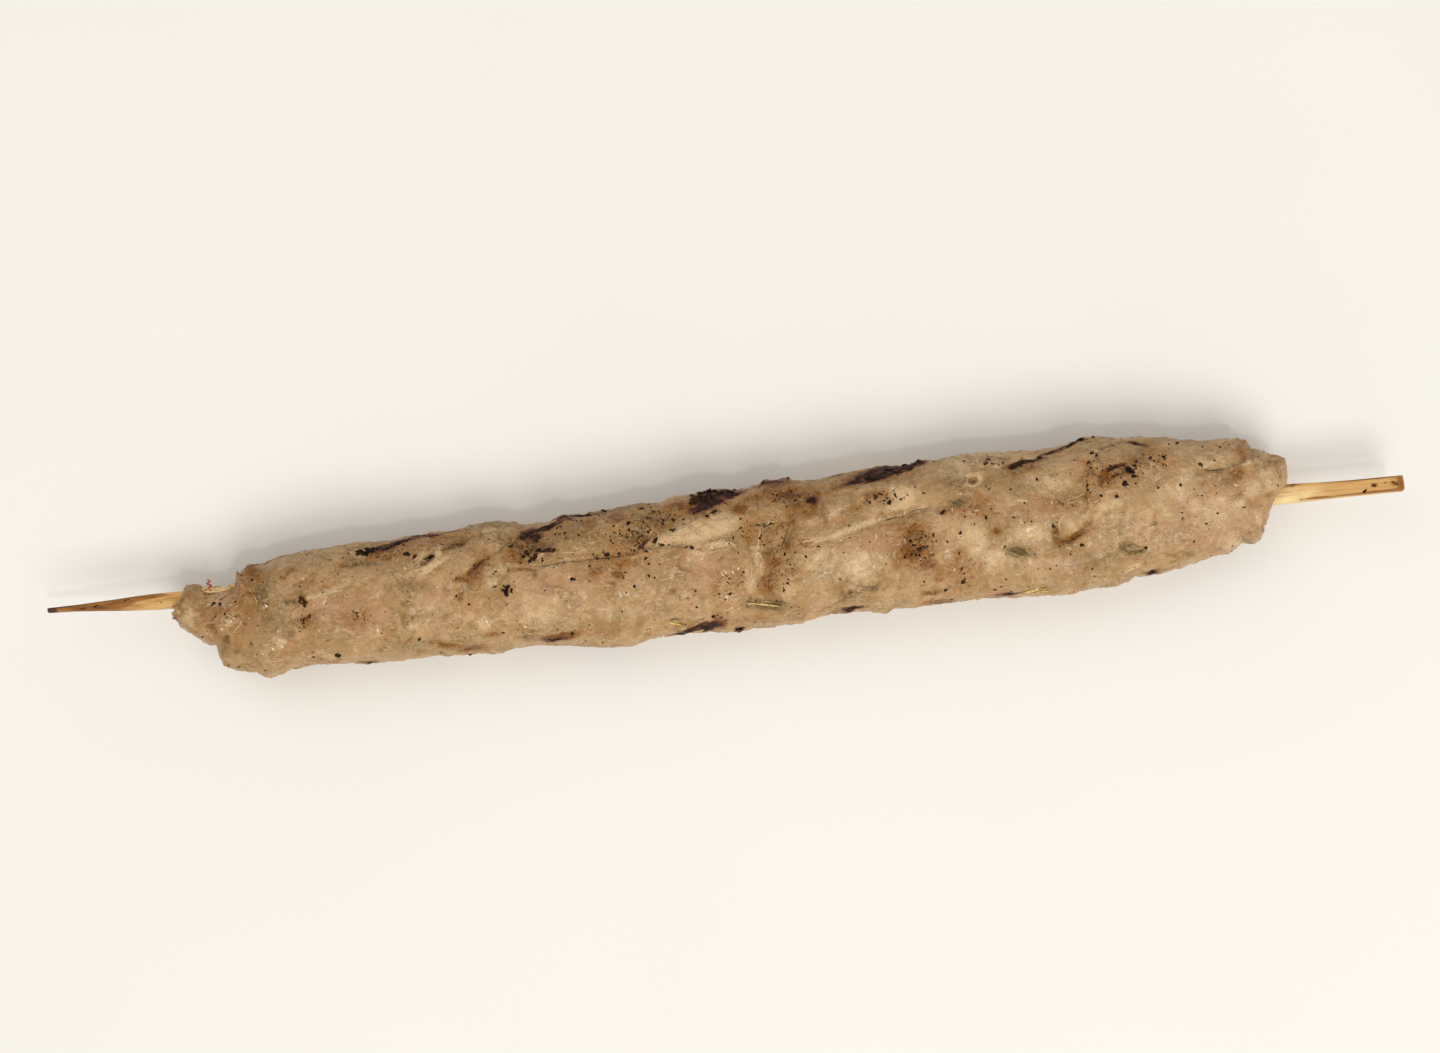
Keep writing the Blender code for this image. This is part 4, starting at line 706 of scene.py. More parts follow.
def ramp(tree, value, low, high):
    """A value taken from between low and high to between 0 and 1, smoothly."""
    values = {"Value": value, "From Min": low, "From Max": high}
    return add_node(tree, "ShaderNodeMapRange", values, interpolation_type="SMOOTHSTEP")["Result"]


def stretched(tree, vector, scale):
    """Coordinates scaled by a share of their own along each axis, which draws a pattern out."""
    return add_node(tree, "ShaderNodeMapping", {"Vector": vector, "Scale": scale})["Vector"]


def attribute(tree, name):
    """One of the masks painted on the piece."""
    return add_node(tree, "ShaderNodeAttribute", {}, attribute_name=name)["Fac"]


def colour(red, green, blue):
    """A colour named by its 0 to 255 screen values, as the linear one that shaders take."""
    def linear(level):
        share = level / 255
        return share / 12.92 if share <= 0.04045 else ((share + 0.055) / 1.055) ** 2.4
    return (linear(red), linear(green), linear(blue), 1.0)


def new_material(name, roughness):
    """A material with a node tree, its shader, and object coordinates."""
    material = bpy.data.materials.new(name)
    material.use_nodes = True
    tree = material.node_tree
    shader = tree.nodes["Principled BSDF"]
    feed(tree, shader, {"Roughness": roughness})
    return material, tree, shader, add_node(tree, "ShaderNodeTexCoord", {})["Object"]


def bump(tree, shader, height, distance, strength=1.0):
    """Low relief in the material, from a height between 0 and 1."""
    values = {"Strength": strength, "Distance": distance, "Height": height}
    feed(tree, shader, {"Normal": add_node(tree, "ShaderNodeBump", values)["Normal"]})


def ragged_edge_group():
    """Breaks a soft mask up into a ragged patch with small islands round it."""
    inputs = [
        ("Vector", "NodeSocketVector", None), ("Mask", "NodeSocketFloat", 0.0),
        ("Scale", "NodeSocketFloat", 900.0), ("Raggedness", "NodeSocketFloat", 1.0),
        ("Softness", "NodeSocketFloat", 0.3),
    ]
    tree, start, end = group("ragged_edge", inputs, [("Mask", "NodeSocketFloat")])
    given = start.outputs
    grain = noise_node(tree, given["Vector"], given["Scale"], 5.0, 0.65, 0.4)
    shift = times(tree, math_node(tree, "SUBTRACT", grain, 0.5), given["Raggedness"])
    raised = math_node(tree, "SUBTRACT", math_node(tree, "ADD", given["Mask"], shift), 0.38)
    spread = math_node(tree, "DIVIDE", raised, given["Softness"])
    shaped = ramp(tree, math_node(tree, "ADD", spread, 0.5), 0.0, 1.0)
    present = ramp(tree, given["Mask"], 0.02, 0.25)
    feed(tree, end, {"Mask": times(tree, shaped, present)})
    return tree


def wisps_group():
    """Thin curling lines, like torn meat fibres and wrinkles in a moist skin."""
    inputs = [
        ("Vector", "NodeSocketVector", None), ("Scale", "NodeSocketFloat", 500.0),
        ("Thinness", "NodeSocketFloat", 14.0),
    ]
    tree, start, end = group("wisps", inputs, [("Mask", "NodeSocketFloat")])
    given = start.outputs
    total = None
    for shift, share in ((0.0, 1.0), (0.37, 1.7)):
        values = {0: given["Vector"], 1: (shift, -shift, 0.5 * shift)}
        moved = add_node(tree, "ShaderNodeVectorMath", values)[0]
        scale = times(tree, given["Scale"], share)
        field = noise_node(tree, moved, scale, 2.0, 0.5, 1.6)
        off = math_node(tree, "ABSOLUTE", math_node(tree, "SUBTRACT", field, 0.5))
        line = math_node(tree, "SUBTRACT", 1.0, times(tree, off, given["Thinness"]), clamp=True)
        line = times(tree, line, ramp(tree, noise_node(tree, moved, scale, 1.0), 0.46, 0.6))
        total = line if total is None else math_node(tree, "MAXIMUM", total, line)
    feed(tree, end, {"Mask": total})
    return tree


def granules_group():
    """Bits of mince pressed together: a tone of its own for each, and the seams between them."""
    inputs = [
        ("Vector", "NodeSocketVector", None), ("Scale", "NodeSocketFloat", 400.0),
        ("Warp", "NodeSocketFloat", 0.001),
    ]
    tree, start, end = group("granules", inputs, [("Tone", "NodeSocketFloat"), ("Seam", "NodeSocketFloat")])
    given = start.outputs
    field = {"Vector": given["Vector"], "Scale": given["Scale"]}
    wave = add_node(tree, "ShaderNodeTexNoise", {**field, "Detail": 3.0})["Color"]
    values = {0: wave, 1: given["Warp"], 2: given["Vector"]}
    field["Vector"] = add_node(tree, "ShaderNodeVectorMath", values, operation="MULTIPLY_ADD")[0]
    cells = add_node(tree, "ShaderNodeTexVoronoi", field, feature="F1")["Color"]
    edges = add_node(tree, "ShaderNodeTexVoronoi", field, feature="DISTANCE_TO_EDGE")["Distance"]
    tone = add_node(tree, "ShaderNodeSeparateColor", {0: cells})[0]
    seam = math_node(tree, "SUBTRACT", 1.0, times(tree, edges, 9.0), clamp=True)
    feed(tree, end, {"Tone": tone, "Seam": seam})
    return tree


def use_group(tree, group_tree, **values):
    """A node group placed in a material with its own values: its outputs."""
    return add_node(tree, "ShaderNodeGroup", values, node_tree=group_tree)


# Materials

def tinted(tree, base, mask, most, tint):
    """A colour with a tint laid over it where a mask says, at most so strongly."""
    return mix_colour(tree, times(tree, mask, most, clamp=True), base, tint)


def mince_patterns(tree, spot, wisps, granules):
    """The patterns that both the mince's colours and its bumps follow."""
    mottle = noise_node(tree, spot, 330.0, 5.0, 0.62, 0.7)
    detailed = ramp(tree, noise_node(tree, spot, 150.0, 2.0, 0.5, 0.8), 0.42, 0.6)
    bits = use_group(tree, granules, Vector=spot, Scale=430.0, Warp=0.0014)
    return {
        "mottle": mottle,
        "grain": noise_node(tree, spot, 950.0, 5.0, 0.7, 0.4),
        "pits": noise_node(tree, spot, 2300.0, 3.0, 0.6),
        "fibres": use_group(tree, wisps, Vector=spot, Scale=420.0, Thinness=16.0)["Mask"],
        "tone": bits["Tone"],
        "seams": times(tree, bits["Seam"], ramp(tree, mottle, 0.44, 0.62)),
        "lively": math_node(tree, "MULTIPLY_ADD", detailed, 0.8, 0.15),
    }


def mottled_mince(tree, spot, patterns):
    """Tan and cream mince: each layer is a mask, how strong it is at most, and its tint."""
    cloud = noise_node(tree, spot, 110.0, 3.0)
    blotches = noise_node(tree, spot, 190.0, 4.0, 0.6, 0.5)
    threads = noise_node(tree, stretched(tree, spot, (0.35, 1.0, 1.0)), 1500.0, 3.0, 0.6, 1.2)
    height = attribute(tree, "height")
    tone, mottle, grain = (patterns[name] for name in ("tone", "mottle", "grain"))
    layers = [
        # The far flank and the pointed end: partly browning, partly painted shade.
        (attribute(tree, "toast_and_shade"), 0.5, colour(140, 103, 50)),
        (ramp(tree, blotches, 0.55, 0.68), 0.45, colour(174, 124, 70)),
        (ramp(tree, blotches, 0.42, 0.3), 0.4, colour(150, 123, 80)),
        (ramp(tree, tone, 0.62, 0.8), 0.2, colour(216, 180, 136)),
        (ramp(tree, tone, 0.3, 0.15), 0.25, colour(148, 108, 58)),
        (ramp(tree, mottle, 0.54, 0.7), 0.4, colour(212, 176, 132)),
        (ramp(tree, mottle, 0.46, 0.32), 0.45, colour(144, 102, 50)),
        # Low places of the relief are painted darker, as shade in its creases and hollows, and high places
        # paler, as light on its lumps.
        (ramp(tree, height, 0.42, 0.1), 0.55, colour(114, 74, 26)),
        (ramp(tree, height, 0.62, 0.95), 0.3, colour(214, 178, 132)),
    ]
    fine_layers = [
        (patterns["seams"], 0.35, colour(118, 76, 32)),
        (ramp(tree, grain, 0.57, 0.69), 0.6, colour(230, 200, 160)),
        (ramp(tree, grain, 0.43, 0.31), 0.7, colour(122, 80, 34)),
        (ramp(tree, threads, 0.58, 0.68), 0.55, colour(234, 204, 162)),
        (ramp(tree, threads, 0.4, 0.3), 0.45, colour(124, 82, 34)),
    ]
    layers += [(times(tree, mask, patterns["lively"]), most, tint) for mask, most, tint in fine_layers]
    skin = mix_colour(tree, ramp(tree, cloud, 0.38, 0.62), colour(169, 135, 89), colour(187, 149, 105))
    for mask, most, tint in layers:
        skin = tinted(tree, skin, mask, most, tint)
    return skin


def patched_mince(tree, spot, skin, patterns, ragged):
    """The mince with its olive, pink, pale and brown patches, its pale fibres and its dark pits."""
    for name, share, tint, scale, raggedness, softness, most in MINCE_PATCHES:
        amount = times(tree, attribute(tree, name), share)
        patch = use_group(
            tree, ragged, Vector=spot, Mask=amount, Scale=scale, Raggedness=raggedness, Softness=softness)
        skin = tinted(tree, skin, patch["Mask"], most, colour(*tint))
    wispy = math_node(tree, "ADD", attribute(tree, "pale"), 0.35, clamp=True)
    skin = tinted(tree, skin, times(tree, patterns["fibres"], wispy), 0.7, colour(234, 206, 164))
    return tinted(tree, skin, ramp(tree, patterns["pits"], 0.34, 0.26), 0.75, colour(90, 48, 8))


def charred_mince(tree, spot, skin, ragged):
    """The mince with its grill marks, browned round a flaking black crust, and the mask of that crust."""
    char = attribute(tree, "char")
    drawn_out = stretched(tree, spot, (0.5, 1.0, 1.0))
    wider = times(tree, char, 1.6)
    scorched = use_group(
        tree, ragged, Vector=drawn_out, Mask=wider, Scale=560.0, Raggedness=1.0, Softness=0.6)
    burnt = use_group(
        tree, ragged, Vector=drawn_out, Mask=char, Scale=1300.0, Raggedness=1.5, Softness=0.22)["Mask"]
    flakes = noise_node(tree, drawn_out, 1100.0, 4.0, 0.65)
    crust = mix_colour(tree, ramp(tree, flakes, 0.45, 0.68), colour(17, 9, 8), colour(104, 62, 52))
    skin = tinted(tree, skin, ramp(tree, char, 0.04, 0.5), 0.6, colour(134, 76, 32))
    skin = tinted(tree, skin, scorched["Mask"], 0.8, colour(106, 56, 30))
    return tinted(tree, skin, burnt, 0.9, crust), burnt


def mince_material(ragged, wisps, granules):
    """Moist grilled mince: tan and cream mottling, browned, olive, pinkish and charred patches, painted shade
    in its low places and on its far flank, and painted light on its high places.
    """
    material, tree, shader, spot = new_material("cooked_mince", 0.45)
    patterns = mince_patterns(tree, spot, wisps, granules)
    skin = patched_mince(tree, spot, mottled_mince(tree, spot, patterns), patterns, ragged)
    skin, burnt = charred_mince(tree, spot, skin, ragged)
    mottle = patterns["mottle"]
    gloss = math_node(tree, "MULTIPLY_ADD", ramp(tree, mottle, 0.35, 0.65), 0.22, 0.3)
    gloss = math_node(tree, "ADD", gloss, times(tree, burnt, 0.25))
    dry = math_node(tree, "MAXIMUM", burnt, times(tree, attribute(tree, "brown"), 0.7))
    moist = times(tree, math_node(tree, "SUBTRACT", 1.0, dry, clamp=True), ramp(tree, mottle, 0.42, 0.62))
    feed(tree, shader, {"Base Color": skin, "Roughness": gloss, "Specular IOR Level": 0.18})
    feed(tree, shader, {"Coat Weight": times(tree, moist, 0.32), "Coat Roughness": 0.16})
    under_skin = {"Subsurface Weight": 0.35, "Subsurface Radius": (1.0, 0.5, 0.25), "Subsurface Scale": 0.001}
    feed(tree, shader, under_skin)
    fine = math_node(tree, "ADD", patterns["grain"], times(tree, patterns["pits"], 0.4))
    rough = math_node(tree, "MULTIPLY_ADD", times(tree, fine, patterns["lively"]), 0.9, mottle)
    rough = math_node(tree, "MULTIPLY_ADD", patterns["fibres"], 0.25, rough)
    rough = math_node(tree, "MULTIPLY_ADD", patterns["seams"], -0.15, rough)
    bump(tree, shader, rough, 0.0007, 0.8)
    return material


def crumb_material():
    """Charred crumbs: nearly black, some of them dark red-brown."""
    material, tree, shader, spot = new_material("charred_crumbs", 0.62)
    tone = ramp(tree, noise_node(tree, spot, 420.0, 1.0), 0.42, 0.66)
    black = mix_colour(tree, tone, colour(24, 14, 6), colour(66, 36, 12))
    feed(tree, shader, {"Base Color": black, "Specular IOR Level": 0.12})
    bump(tree, shader, noise_node(tree, spot, 2600.0, 2.0), 0.0001)
    return material


def fat_and_glint_material():
    """Clear pale fat: cream, smooth and shiny; its pale cream also paints the skin's glints."""
    material, tree, shader, spot = new_material("moist_fat_and_painted_glints", 0.18)
    tone = noise_node(tree, spot, 700.0, 2.0)
    cream = mix_colour(tree, tone, colour(206, 172, 124), colour(240, 216, 176))
    feed(tree, shader, {"Base Color": cream, "Coat Weight": 0.4})
    return material


def herb_material(name, dark, light):
    """Dry herb: fine streaks between two tones."""
    material, tree, shader, spot = new_material(name, 0.5)
    streaks = noise_node(tree, spot, 1500.0, 3.0, 0.6)
    streaky = mix_colour(tree, ramp(tree, streaks, 0.38, 0.62), dark, light)
    feed(tree, shader, {"Base Color": streaky})
    bump(tree, shader, streaks, 0.00008)
    return material


def bamboo_material(ragged):
    """Split bamboo: long fibres, bright and greasy beside the meat, browned towards the point."""
    material, tree, shader, spot = new_material("bamboo", 0.5)
    along = stretched(tree, spot, (0.03, 1.0, 1.0))
    fibres = noise_node(tree, along, 3200.0, 4.0, 0.65)
    bands = noise_node(tree, along, 700.0, 3.0, 0.6, 0.3)
    wood = mix_colour(tree, ramp(tree, bands, 0.38, 0.62), colour(205, 154, 88), colour(223, 179, 115))
    wood = tinted(tree, wood, ramp(tree, fibres, 0.48, 0.3), 0.6, colour(164, 110, 52))
    wood = tinted(tree, wood, ramp(tree, fibres, 0.55, 0.72), 0.4, colour(240, 204, 146))
    wood = tinted(tree, wood, attribute(tree, "fat"), 0.85, colour(252, 225, 166))
    streaks = noise_node(tree, stretched(tree, spot, (0.12, 1.0, 1.0)), 1100.0, 4.0, 0.65)
    uneven = math_node(tree, "SUBTRACT", streaks, 0.5)
    toasted = math_node(tree, "MULTIPLY_ADD", uneven, 1.4, attribute(tree, "brown"))
    wood = tinted(tree, wood, ramp(tree, toasted, 0.05, 0.5), 0.92, colour(140, 86, 26))
    wood = tinted(tree, wood, ramp(tree, toasted, 0.5, 1.0), 0.8, colour(88, 52, 20))
    char = attribute(tree, "char")
    burnt = use_group(tree, ragged, Vector=spot, Mask=char, Scale=1500.0, Raggedness=0.8, Softness=0.4)
    wood = tinted(tree, wood, burnt["Mask"], 0.85, colour(50, 32, 26))
    greasy = math_node(tree, "MULTIPLY_ADD", attribute(tree, "fat"), -0.25, 0.55)
    feed(tree, shader, {"Base Color": wood, "Roughness": greasy, "Specular IOR Level": 0.3})
    bump(tree, shader, fibres, 0.00025, 0.8)
    return material


# Pieces

def roll_skin():
    """The solid's skin with the bore's wall taken out, so that the meat clings to the stick."""
    shape = bmesh.new()
    shape.from_mesh(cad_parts["minced_meat"].data)
    bmesh.ops.remove_doubles(shape, verts=shape.verts, dist=WELD_GAP)
    wood = bmesh.new()
    wood.from_mesh(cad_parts["wooden_stick"].data)
    stick = BVHTree.FromBMesh(wood)
    wood.free()
    bore = [f for f in shape.faces if all(stick.find_nearest(v.co, BORE_REACH)[0] for v in f.verts)]
    bmesh.ops.delete(shape, geom=bore, context="FACES")
    rims = [e for e in shape.edges if e.is_boundary]
    bmesh.ops.holes_fill(shape, edges=rims, sides=0)
    bmesh.ops.triangulate(shape, faces=shape.faces)
    return shape


def relief(points, normals):
    """How far each point of the skin stands out, in millimetres."""
    seen = as_seen(points)
    height = sum(tall * noise_at(points, size, 9.0) for size, tall in LUMPS)
    crevices = np.exp(-((noise_at(points, CREVICE_SIZE, 3.0) / CREVICE_SHARPNESS) ** 2))
    height -= CREVICE_DEPTH * crevices * step_up(noise_at(points, CREVICE_PATCHES, 5.0), 0.0, 0.35)
    height += GRANULE_HEIGHT * (granules_at(points, GRANULE_SIZE) - 0.5)
    top = step_up(normals[:, 2], *TOP_TILT)
    for path, depth, half_width in CREASES:
        height -= top * depth * near_path(seen, path, half_width)
    for path, tall, half_width in RIDGES:
        height += top * tall * near_path(seen, path, half_width)
    for x, y, length, width, turn in CRATERS:
        hollow = patch_mask(seen, [(x, y, length, width, turn, 1.0)])
        around = patch_mask(seen, [(x, y, length + CRATER_RIM, width + CRATER_RIM, turn, 1.0)])
        height += top * CRATER_DEPTH * (around - 2 * hollow)
    char = patch_mask(seen, CHAR)
    return height + char * (CHAR_ROUGHNESS * noise_at(points, CHAR_GRAIN, 1.0) + CHAR_THICKNESS)


def fit_outline(points, normals):
    """How far each point moves aside so that the meat's edges are seen where they are given."""
    moved = points.copy()
    sides = ((FAR_OUTLINE, 1, 1), (NEAR_OUTLINE, 1, -1))
    ends = ((SAWN_END_OUTLINE, 0, 1), (POINTED_END_OUTLINE, 0, -1))
    for outline, axis, way in (sides + ends) * OUTLINE_ROUNDS:
        seen = as_seen(moved)
        along, reaching = seen[:, 1 - axis], way * seen[:, axis]
        column = np.round(along / OUTLINE_STEP).astype(int)
        first = column.min()
        middles = (np.arange(column.max() - first + 1) + first) * OUTLINE_STEP
        reach = np.full(len(middles), -np.inf)
        np.maximum.at(reach, column - first, reaching)
        places, wanted = zip(*outline)
        apart = np.interp(along, places, wanted) * way - np.interp(along, middles, reach)
        inside = (along > places[0]) & (along < places[-1])
        moved[:, axis] += way * step_up(way * normals[:, axis], *EDGE_TILT) * np.where(inside, apart, 0)
    teeth = sum(tall * noise_at(points, size, 30.0) for size, tall in EDGE_TEETH)
    sideways = step_up(np.abs(normals[:, 1]), *EDGE_TILT) * np.sign(normals[:, 1])
    moved[:, 1] += sideways * teeth
    return (moved - points)[:, :2]


def painted(piece, masks):
    """Stores named masks on a piece's points, for its material to read."""
    for name, mask in masks.items():
        piece.data.attributes.new(name, "FLOAT", "POINT").data.foreach_set("value", mask)


def points_of(piece):
    """A piece's points, their normals, and the points in millimetres from the stick's middle."""
    count = len(piece.data.vertices)
    points, normals = np.zeros(count * 3), np.zeros(count * 3)
    piece.data.vertices.foreach_get("co", points)
    piece.data.vertex_normals.foreach_get("vector", normals)
    points, normals = points.reshape(-1, 3), normals.reshape(-1, 3)
    return points, normals, (points - np.array([AXIS_X, AXIS_Y, 0.0])) / MM


def remeshed(piece, cell, rounds):
    """Bakes an even fine mesh over a piece, smoothed a few times."""
    fine = piece.modifiers.new("fine_skin", "REMESH")
    fine.mode = "VOXEL"
    fine.voxel_size = cell
    soften = piece.modifiers.new("soften", "SMOOTH")
    soften.factor = 0.5
    soften.iterations = rounds
    applied(piece)


def colour_masks(points, normals):
    """The masks that the mince's colours follow: placed where the picture shows them, by chance elsewhere."""
    seen = as_seen(points)
    tilt = normals[:, 2]
    shown = step_up(tilt, *SHOWN_TILT)
    chance = {name: most * noise_at(points, size, shift) for name, most, size, shift in CHANCE_PATCHES}
    scorched = noise_at(points, 8.0, 21.0) + 0.7 * noise_at(points, 2.4, 33.0)
    chance["char"] = np.minimum(1.5 * (scorched - 0.42), 0.75)
    # The crater hollows are tinted olive: painted shade in the hollows.
    pits = [(*crater, 0.45) for crater in CRATERS]
    stained = [(x, y, 1.2 * length, 1.2 * width, 0, 0.42) for x, y, length, width, _ in SPECK_CLUSTERS]
    placed = {"char": CHAR, "brown": BROWN + stained, "pale": PALE, "olive": OLIVE + pits, "pink": PINK}
    masks = {}
    for name, patches in placed.items():
        hidden = np.clip(chance[name], 0, 1)
        masks[name] = shown * patch_mask(seen, patches) + (1 - shown) * hidden
    # Char that is seen on edge ends above the widest line, and breaks up on the flanks.
    on_flank = 1 - step_up(tilt, *FLANK_TILT)
    broken = 1 - 0.75 * on_flank * step_up(noise_at(points, 2.2, 35.0), -0.2, 0.1)
    masks["char"] *= np.where(shown > 0.5, step_up(tilt, *CHAR_TILT) * broken, 1.0)
    # The far flank, which faces away from the lamps, and the pointed end are painted darker: partly browning,
    # partly painted shade.
    flank = step_up(normals[:, 1], 0.0, 0.75) * (1 - 0.45 * step_up(seen[:, 0], 42.0, 60.0))
    pointed_end = 0.36 * step_up(-seen[:, 0], 60.0, 84.0) * step_up(seen[:, 0], -97.0, -90.0)
    masks["toast_and_shade"] = np.clip(np.maximum(flank, pointed_end) * (0.75 + noise_at(points, 11.0, 27.0)), 0, 1)
    return masks


def round_off(piece, low, high, rounds):
    """Smooths the points of a piece that lie between two corners, in millimetres from the stick's middle."""
    shape = bmesh.new()
    shape.from_mesh(piece.data)
    start = Vector((AXIS_X, AXIS_Y, AXIS_Z))
    inside = [v for v in shape.verts if all(a < c < b for a, c, b in zip(low, (v.co - start) / MM, high))]
    every_way = {"use_axis_x": True, "use_axis_y": True, "use_axis_z": True}
    for _ in range(rounds):
        bmesh.ops.smooth_vert(shape, verts=inside, factor=0.5, **every_way)
    shape.to_mesh(piece.data)
    shape.free()


def make_roll(material):
    """The roll of mince, finely meshed, with its relief and its colour masks."""
    piece = new_piece("meat_roll", roll_skin(), material)
    remeshed(piece, SKIN_CELL, SKIN_SMOOTHING)
    points, normals, millimetres = points_of(piece)
    height = relief(millimetres, normals)
    points[:, :2] += fit_outline(millimetres, normals) * MM
    points += normals * height[:, None] * MM
    points[:, 2] = np.maximum(points[:, 2], 0.0)
    piece.data.vertices.foreach_set("co", points.ravel())
    for low, high, rounds in ROUNDED_OFF:
        round_off(piece, low, high, rounds)
    painted(piece, colour_masks(millimetres, normals))
    painted(piece, {"height": np.clip(0.5 + height / HEIGHT_RANGE, 0, 1)})
    piece.data.shade_smooth()
    piece.data.update()
    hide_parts("minced_meat")
    return piece


def ground_under(skin, x, y):
    """The point of a piece that the camera sees at a place, and the way its skin faces there."""
    foot = camera_foot()
    eye = place(foot.x, foot.y) + Vector((0, 0, EYE_HEIGHT * MM))
    point, normal = skin.ray_cast(eye, (place(x, y) - eye).normalized())[:2]
    if point is None:
        point, normal = skin.find_nearest(place(x, y))[:2]
    return point, normal


def ground_inward(skin, along, outward):
    """The point of the meat met from one side, towards the stick, and the way its skin faces there.

    There is none so low that a crumb on it would reach into the floor.
    """
    point, normal = skin.ray_cast(Vector((along, AXIS_Y, AXIS_Z)) + outward * OUTSIDE, -outward)[:2]
    return (point, normal) if point is not None and point.z > CRUMB_HEIGHT else None


def gathered(small_shapes):
    """One bmesh of many small ones. Each is made by itself, which keeps its operators quick."""
    whole = bmesh.new()
    carrier = bpy.data.meshes.new("carrier")
    for small in small_shapes:
        small.to_mesh(carrier)
        small.free()
        whole.from_mesh(carrier)
    bpy.data.meshes.remove(carrier)
    return whole


def crumb(point, normal, size, turn, dice, fineness=2):
    """One small uneven lump, half sunk in the skin."""
    shape = bmesh.new()
    bmesh.ops.create_icosphere(shape, subdivisions=fineness, radius=1.0)
    offset = Vector((dice.uniform(0, 90), 0, 0))
    for vertex in shape.verts:
        vertex.co *= 1.0 + CRUMB_UNEVENNESS * noise.noise(CRUMB_GRAIN * vertex.co + offset)
    stand = normal.to_track_quat("Z", "Y").to_matrix().to_4x4()
    spin = Matrix.Rotation(math.radians(turn), 4, "Z")
    matrix = Matrix.Translation(point) @ stand @ spin @ Matrix.Diagonal((*size, 1.0))
    bmesh.ops.transform(shape, matrix=matrix, verts=shape.verts)
    return shape


def speck(point, normal, dice):
    """One fine speck: most are tiny and a few larger."""
    reach = (SPECK_REACH + SPECK_SPREAD * dice.random() ** 3) * MM
    size = (reach * dice.uniform(0.8, 1.9), reach, 0.5 * reach)
    return crumb(point, normal, size, dice.uniform(0, 180), dice, 1)


def crumbs_and_specks(skin, wood):
    """The crumbs where they are seen, clusters of specks, and specks scattered over all sides."""
    dice = random.Random(11)
    for x, y, half_length, half_width, turn in STICK_MARKS:
        size = (half_length * MM, half_width * MM, 0.2 * half_width * MM)
        yield crumb(*ground_under(wood, x, y), size, turn, dice)
    for x, y, half_length, half_width, turn in CRUMBS:
        point, normal = ground_under(skin, x, y)
        upright = Vector((0, 0, 1)).lerp(normal, 0.6).normalized()
        size = Vector((half_length * MM, half_width * MM, max(CRUMB_HEIGHT, 0.6 * half_width * MM)))
        yield crumb(point, upright, 0.9 * size, turn, dice)
        for _ in range(2 if half_length > 0.3 else 0):
            aside = dice.uniform(-0.9, 0.9) * half_length, dice.uniform(-1.0, 1.0) * half_width
            spot = Matrix.Rotation(math.radians(turn), 2) @ Vector(aside) + Vector((x, y))
            small = dice.uniform(0.35, 0.6) * size
            yield crumb(*ground_under(skin, *spot), small, dice.uniform(0, 180), dice)
    for x, y, spread_x, spread_y, count in SPECK_CLUSTERS:
        for _ in range(count):
            spot = dice.gauss(x, 0.6 * spread_x), dice.gauss(y, 0.6 * spread_y)
            yield speck(*ground_under(skin, *spot), dice)
    for _ in range(SCATTERED_SPECKS):
        along = dice.uniform(MEAT_LOW.x, MEAT_HIGH.x)
        angle = dice.uniform(0, 2 * math.pi)
        ground = ground_inward(skin, along, Vector((0, math.cos(angle), math.sin(angle))))
        if ground:
            yield speck(*ground, dice)


def beads(skin):
    """Flat pale beads of fat, whose colour paints the skin's glints where they are given, and more by chance
    on the other sides.
    """
    dice = random.Random(23)
    for x, y, half_length, half_width, turn in FAT_AND_GLINT_BEADS:
        size = (half_length * MM, half_width * MM, BEAD_HEIGHT)
        yield crumb(*ground_under(skin, x, y), size, turn, dice)
    for _ in range(HIDDEN_BEADS):
        angle = dice.uniform(-0.35 * math.pi, 1.35 * math.pi)
        outward = Vector((0, math.cos(angle), -abs(math.sin(angle))))
        ground = ground_inward(skin, dice.uniform(MEAT_LOW.x, MEAT_HIGH.x), outward)
        if ground:
            size = (dice.uniform(0.2, 0.6) * MM, dice.uniform(0.1, 0.2) * MM, BEAD_HEIGHT)
            yield crumb(*ground, size, dice.uniform(0, 180), dice)


def strand(skin, path, thickness, lift):
    """A thin round strand along a path, fattest in the middle.

    It lies on the meat, raised by a share of its radius, or at given heights over the stick's axis.
    """
    shape = bmesh.new()
    bmesh.ops.create_cone(shape, cap_ends=True, segments=STRAND_SIDES, radius1=1.0, radius2=1.0, depth=1.0)
    sides = [e for e in shape.edges if abs(e.verts[0].co.z - e.verts[1].co.z) > 0.5]
    bmesh.ops.subdivide_edges(shape, edges=sides, cuts=STRAND_CUTS * len(path), use_grid_fill=True)
    radius = thickness / 2 * MM
    stops = np.linspace(0, 1, len(path))
    columns = list(zip(*path))

    def centre(share):
        x, y, *height = (float(np.interp(share, stops, column)) for column in columns)
        if height:
            return place(x, y) + Vector((0, 0, height[0] * MM))
        point, normal = ground_under(skin, x, y)
        return point + normal * radius * lift

    for vertex in shape.verts:
        share = min(1.0, max(0.0, vertex.co.z + 0.5))
        along = centre(min(1.0, share + STRAND_AHEAD)) - centre(max(0.0, share - STRAND_AHEAD))
        round_it = along.to_track_quat("Z", "Y") @ Vector((vertex.co.x, vertex.co.y, 0))
        fullness = STRAND_END + (1 - STRAND_END) * math.sin(math.pi * share)
        vertex.co = centre(share) + round_it * radius * fullness
    return shape


def fibre_strands():
    """Short pale fibres at the places where the mince shows them; near the sawn end they also paint streaky
    highlights.
    """
    dice = random.Random(5)
    strands = []
    for x, y, spread_x, spread_y, count in PALE_FIBRES_AND_HIGHLIGHTS:
        for _ in range(count):
            middle = (dice.gauss(x, 0.6 * spread_x), dice.gauss(y, 0.6 * spread_y))
            angle = dice.gauss(0.0, 0.7)
            reach = dice.uniform(0.3, 0.9)
            bend = dice.uniform(-0.3, 0.3)
            ends = []
            for way in (-1, 1):
                heading, step = angle + bend * way, reach * way
                ends.append((middle[0] + step * math.cos(heading), middle[1] + step * math.sin(heading)))
            strands.append(([ends[0], middle, ends[1]], dice.uniform(0.09, 0.17)))
    return strands


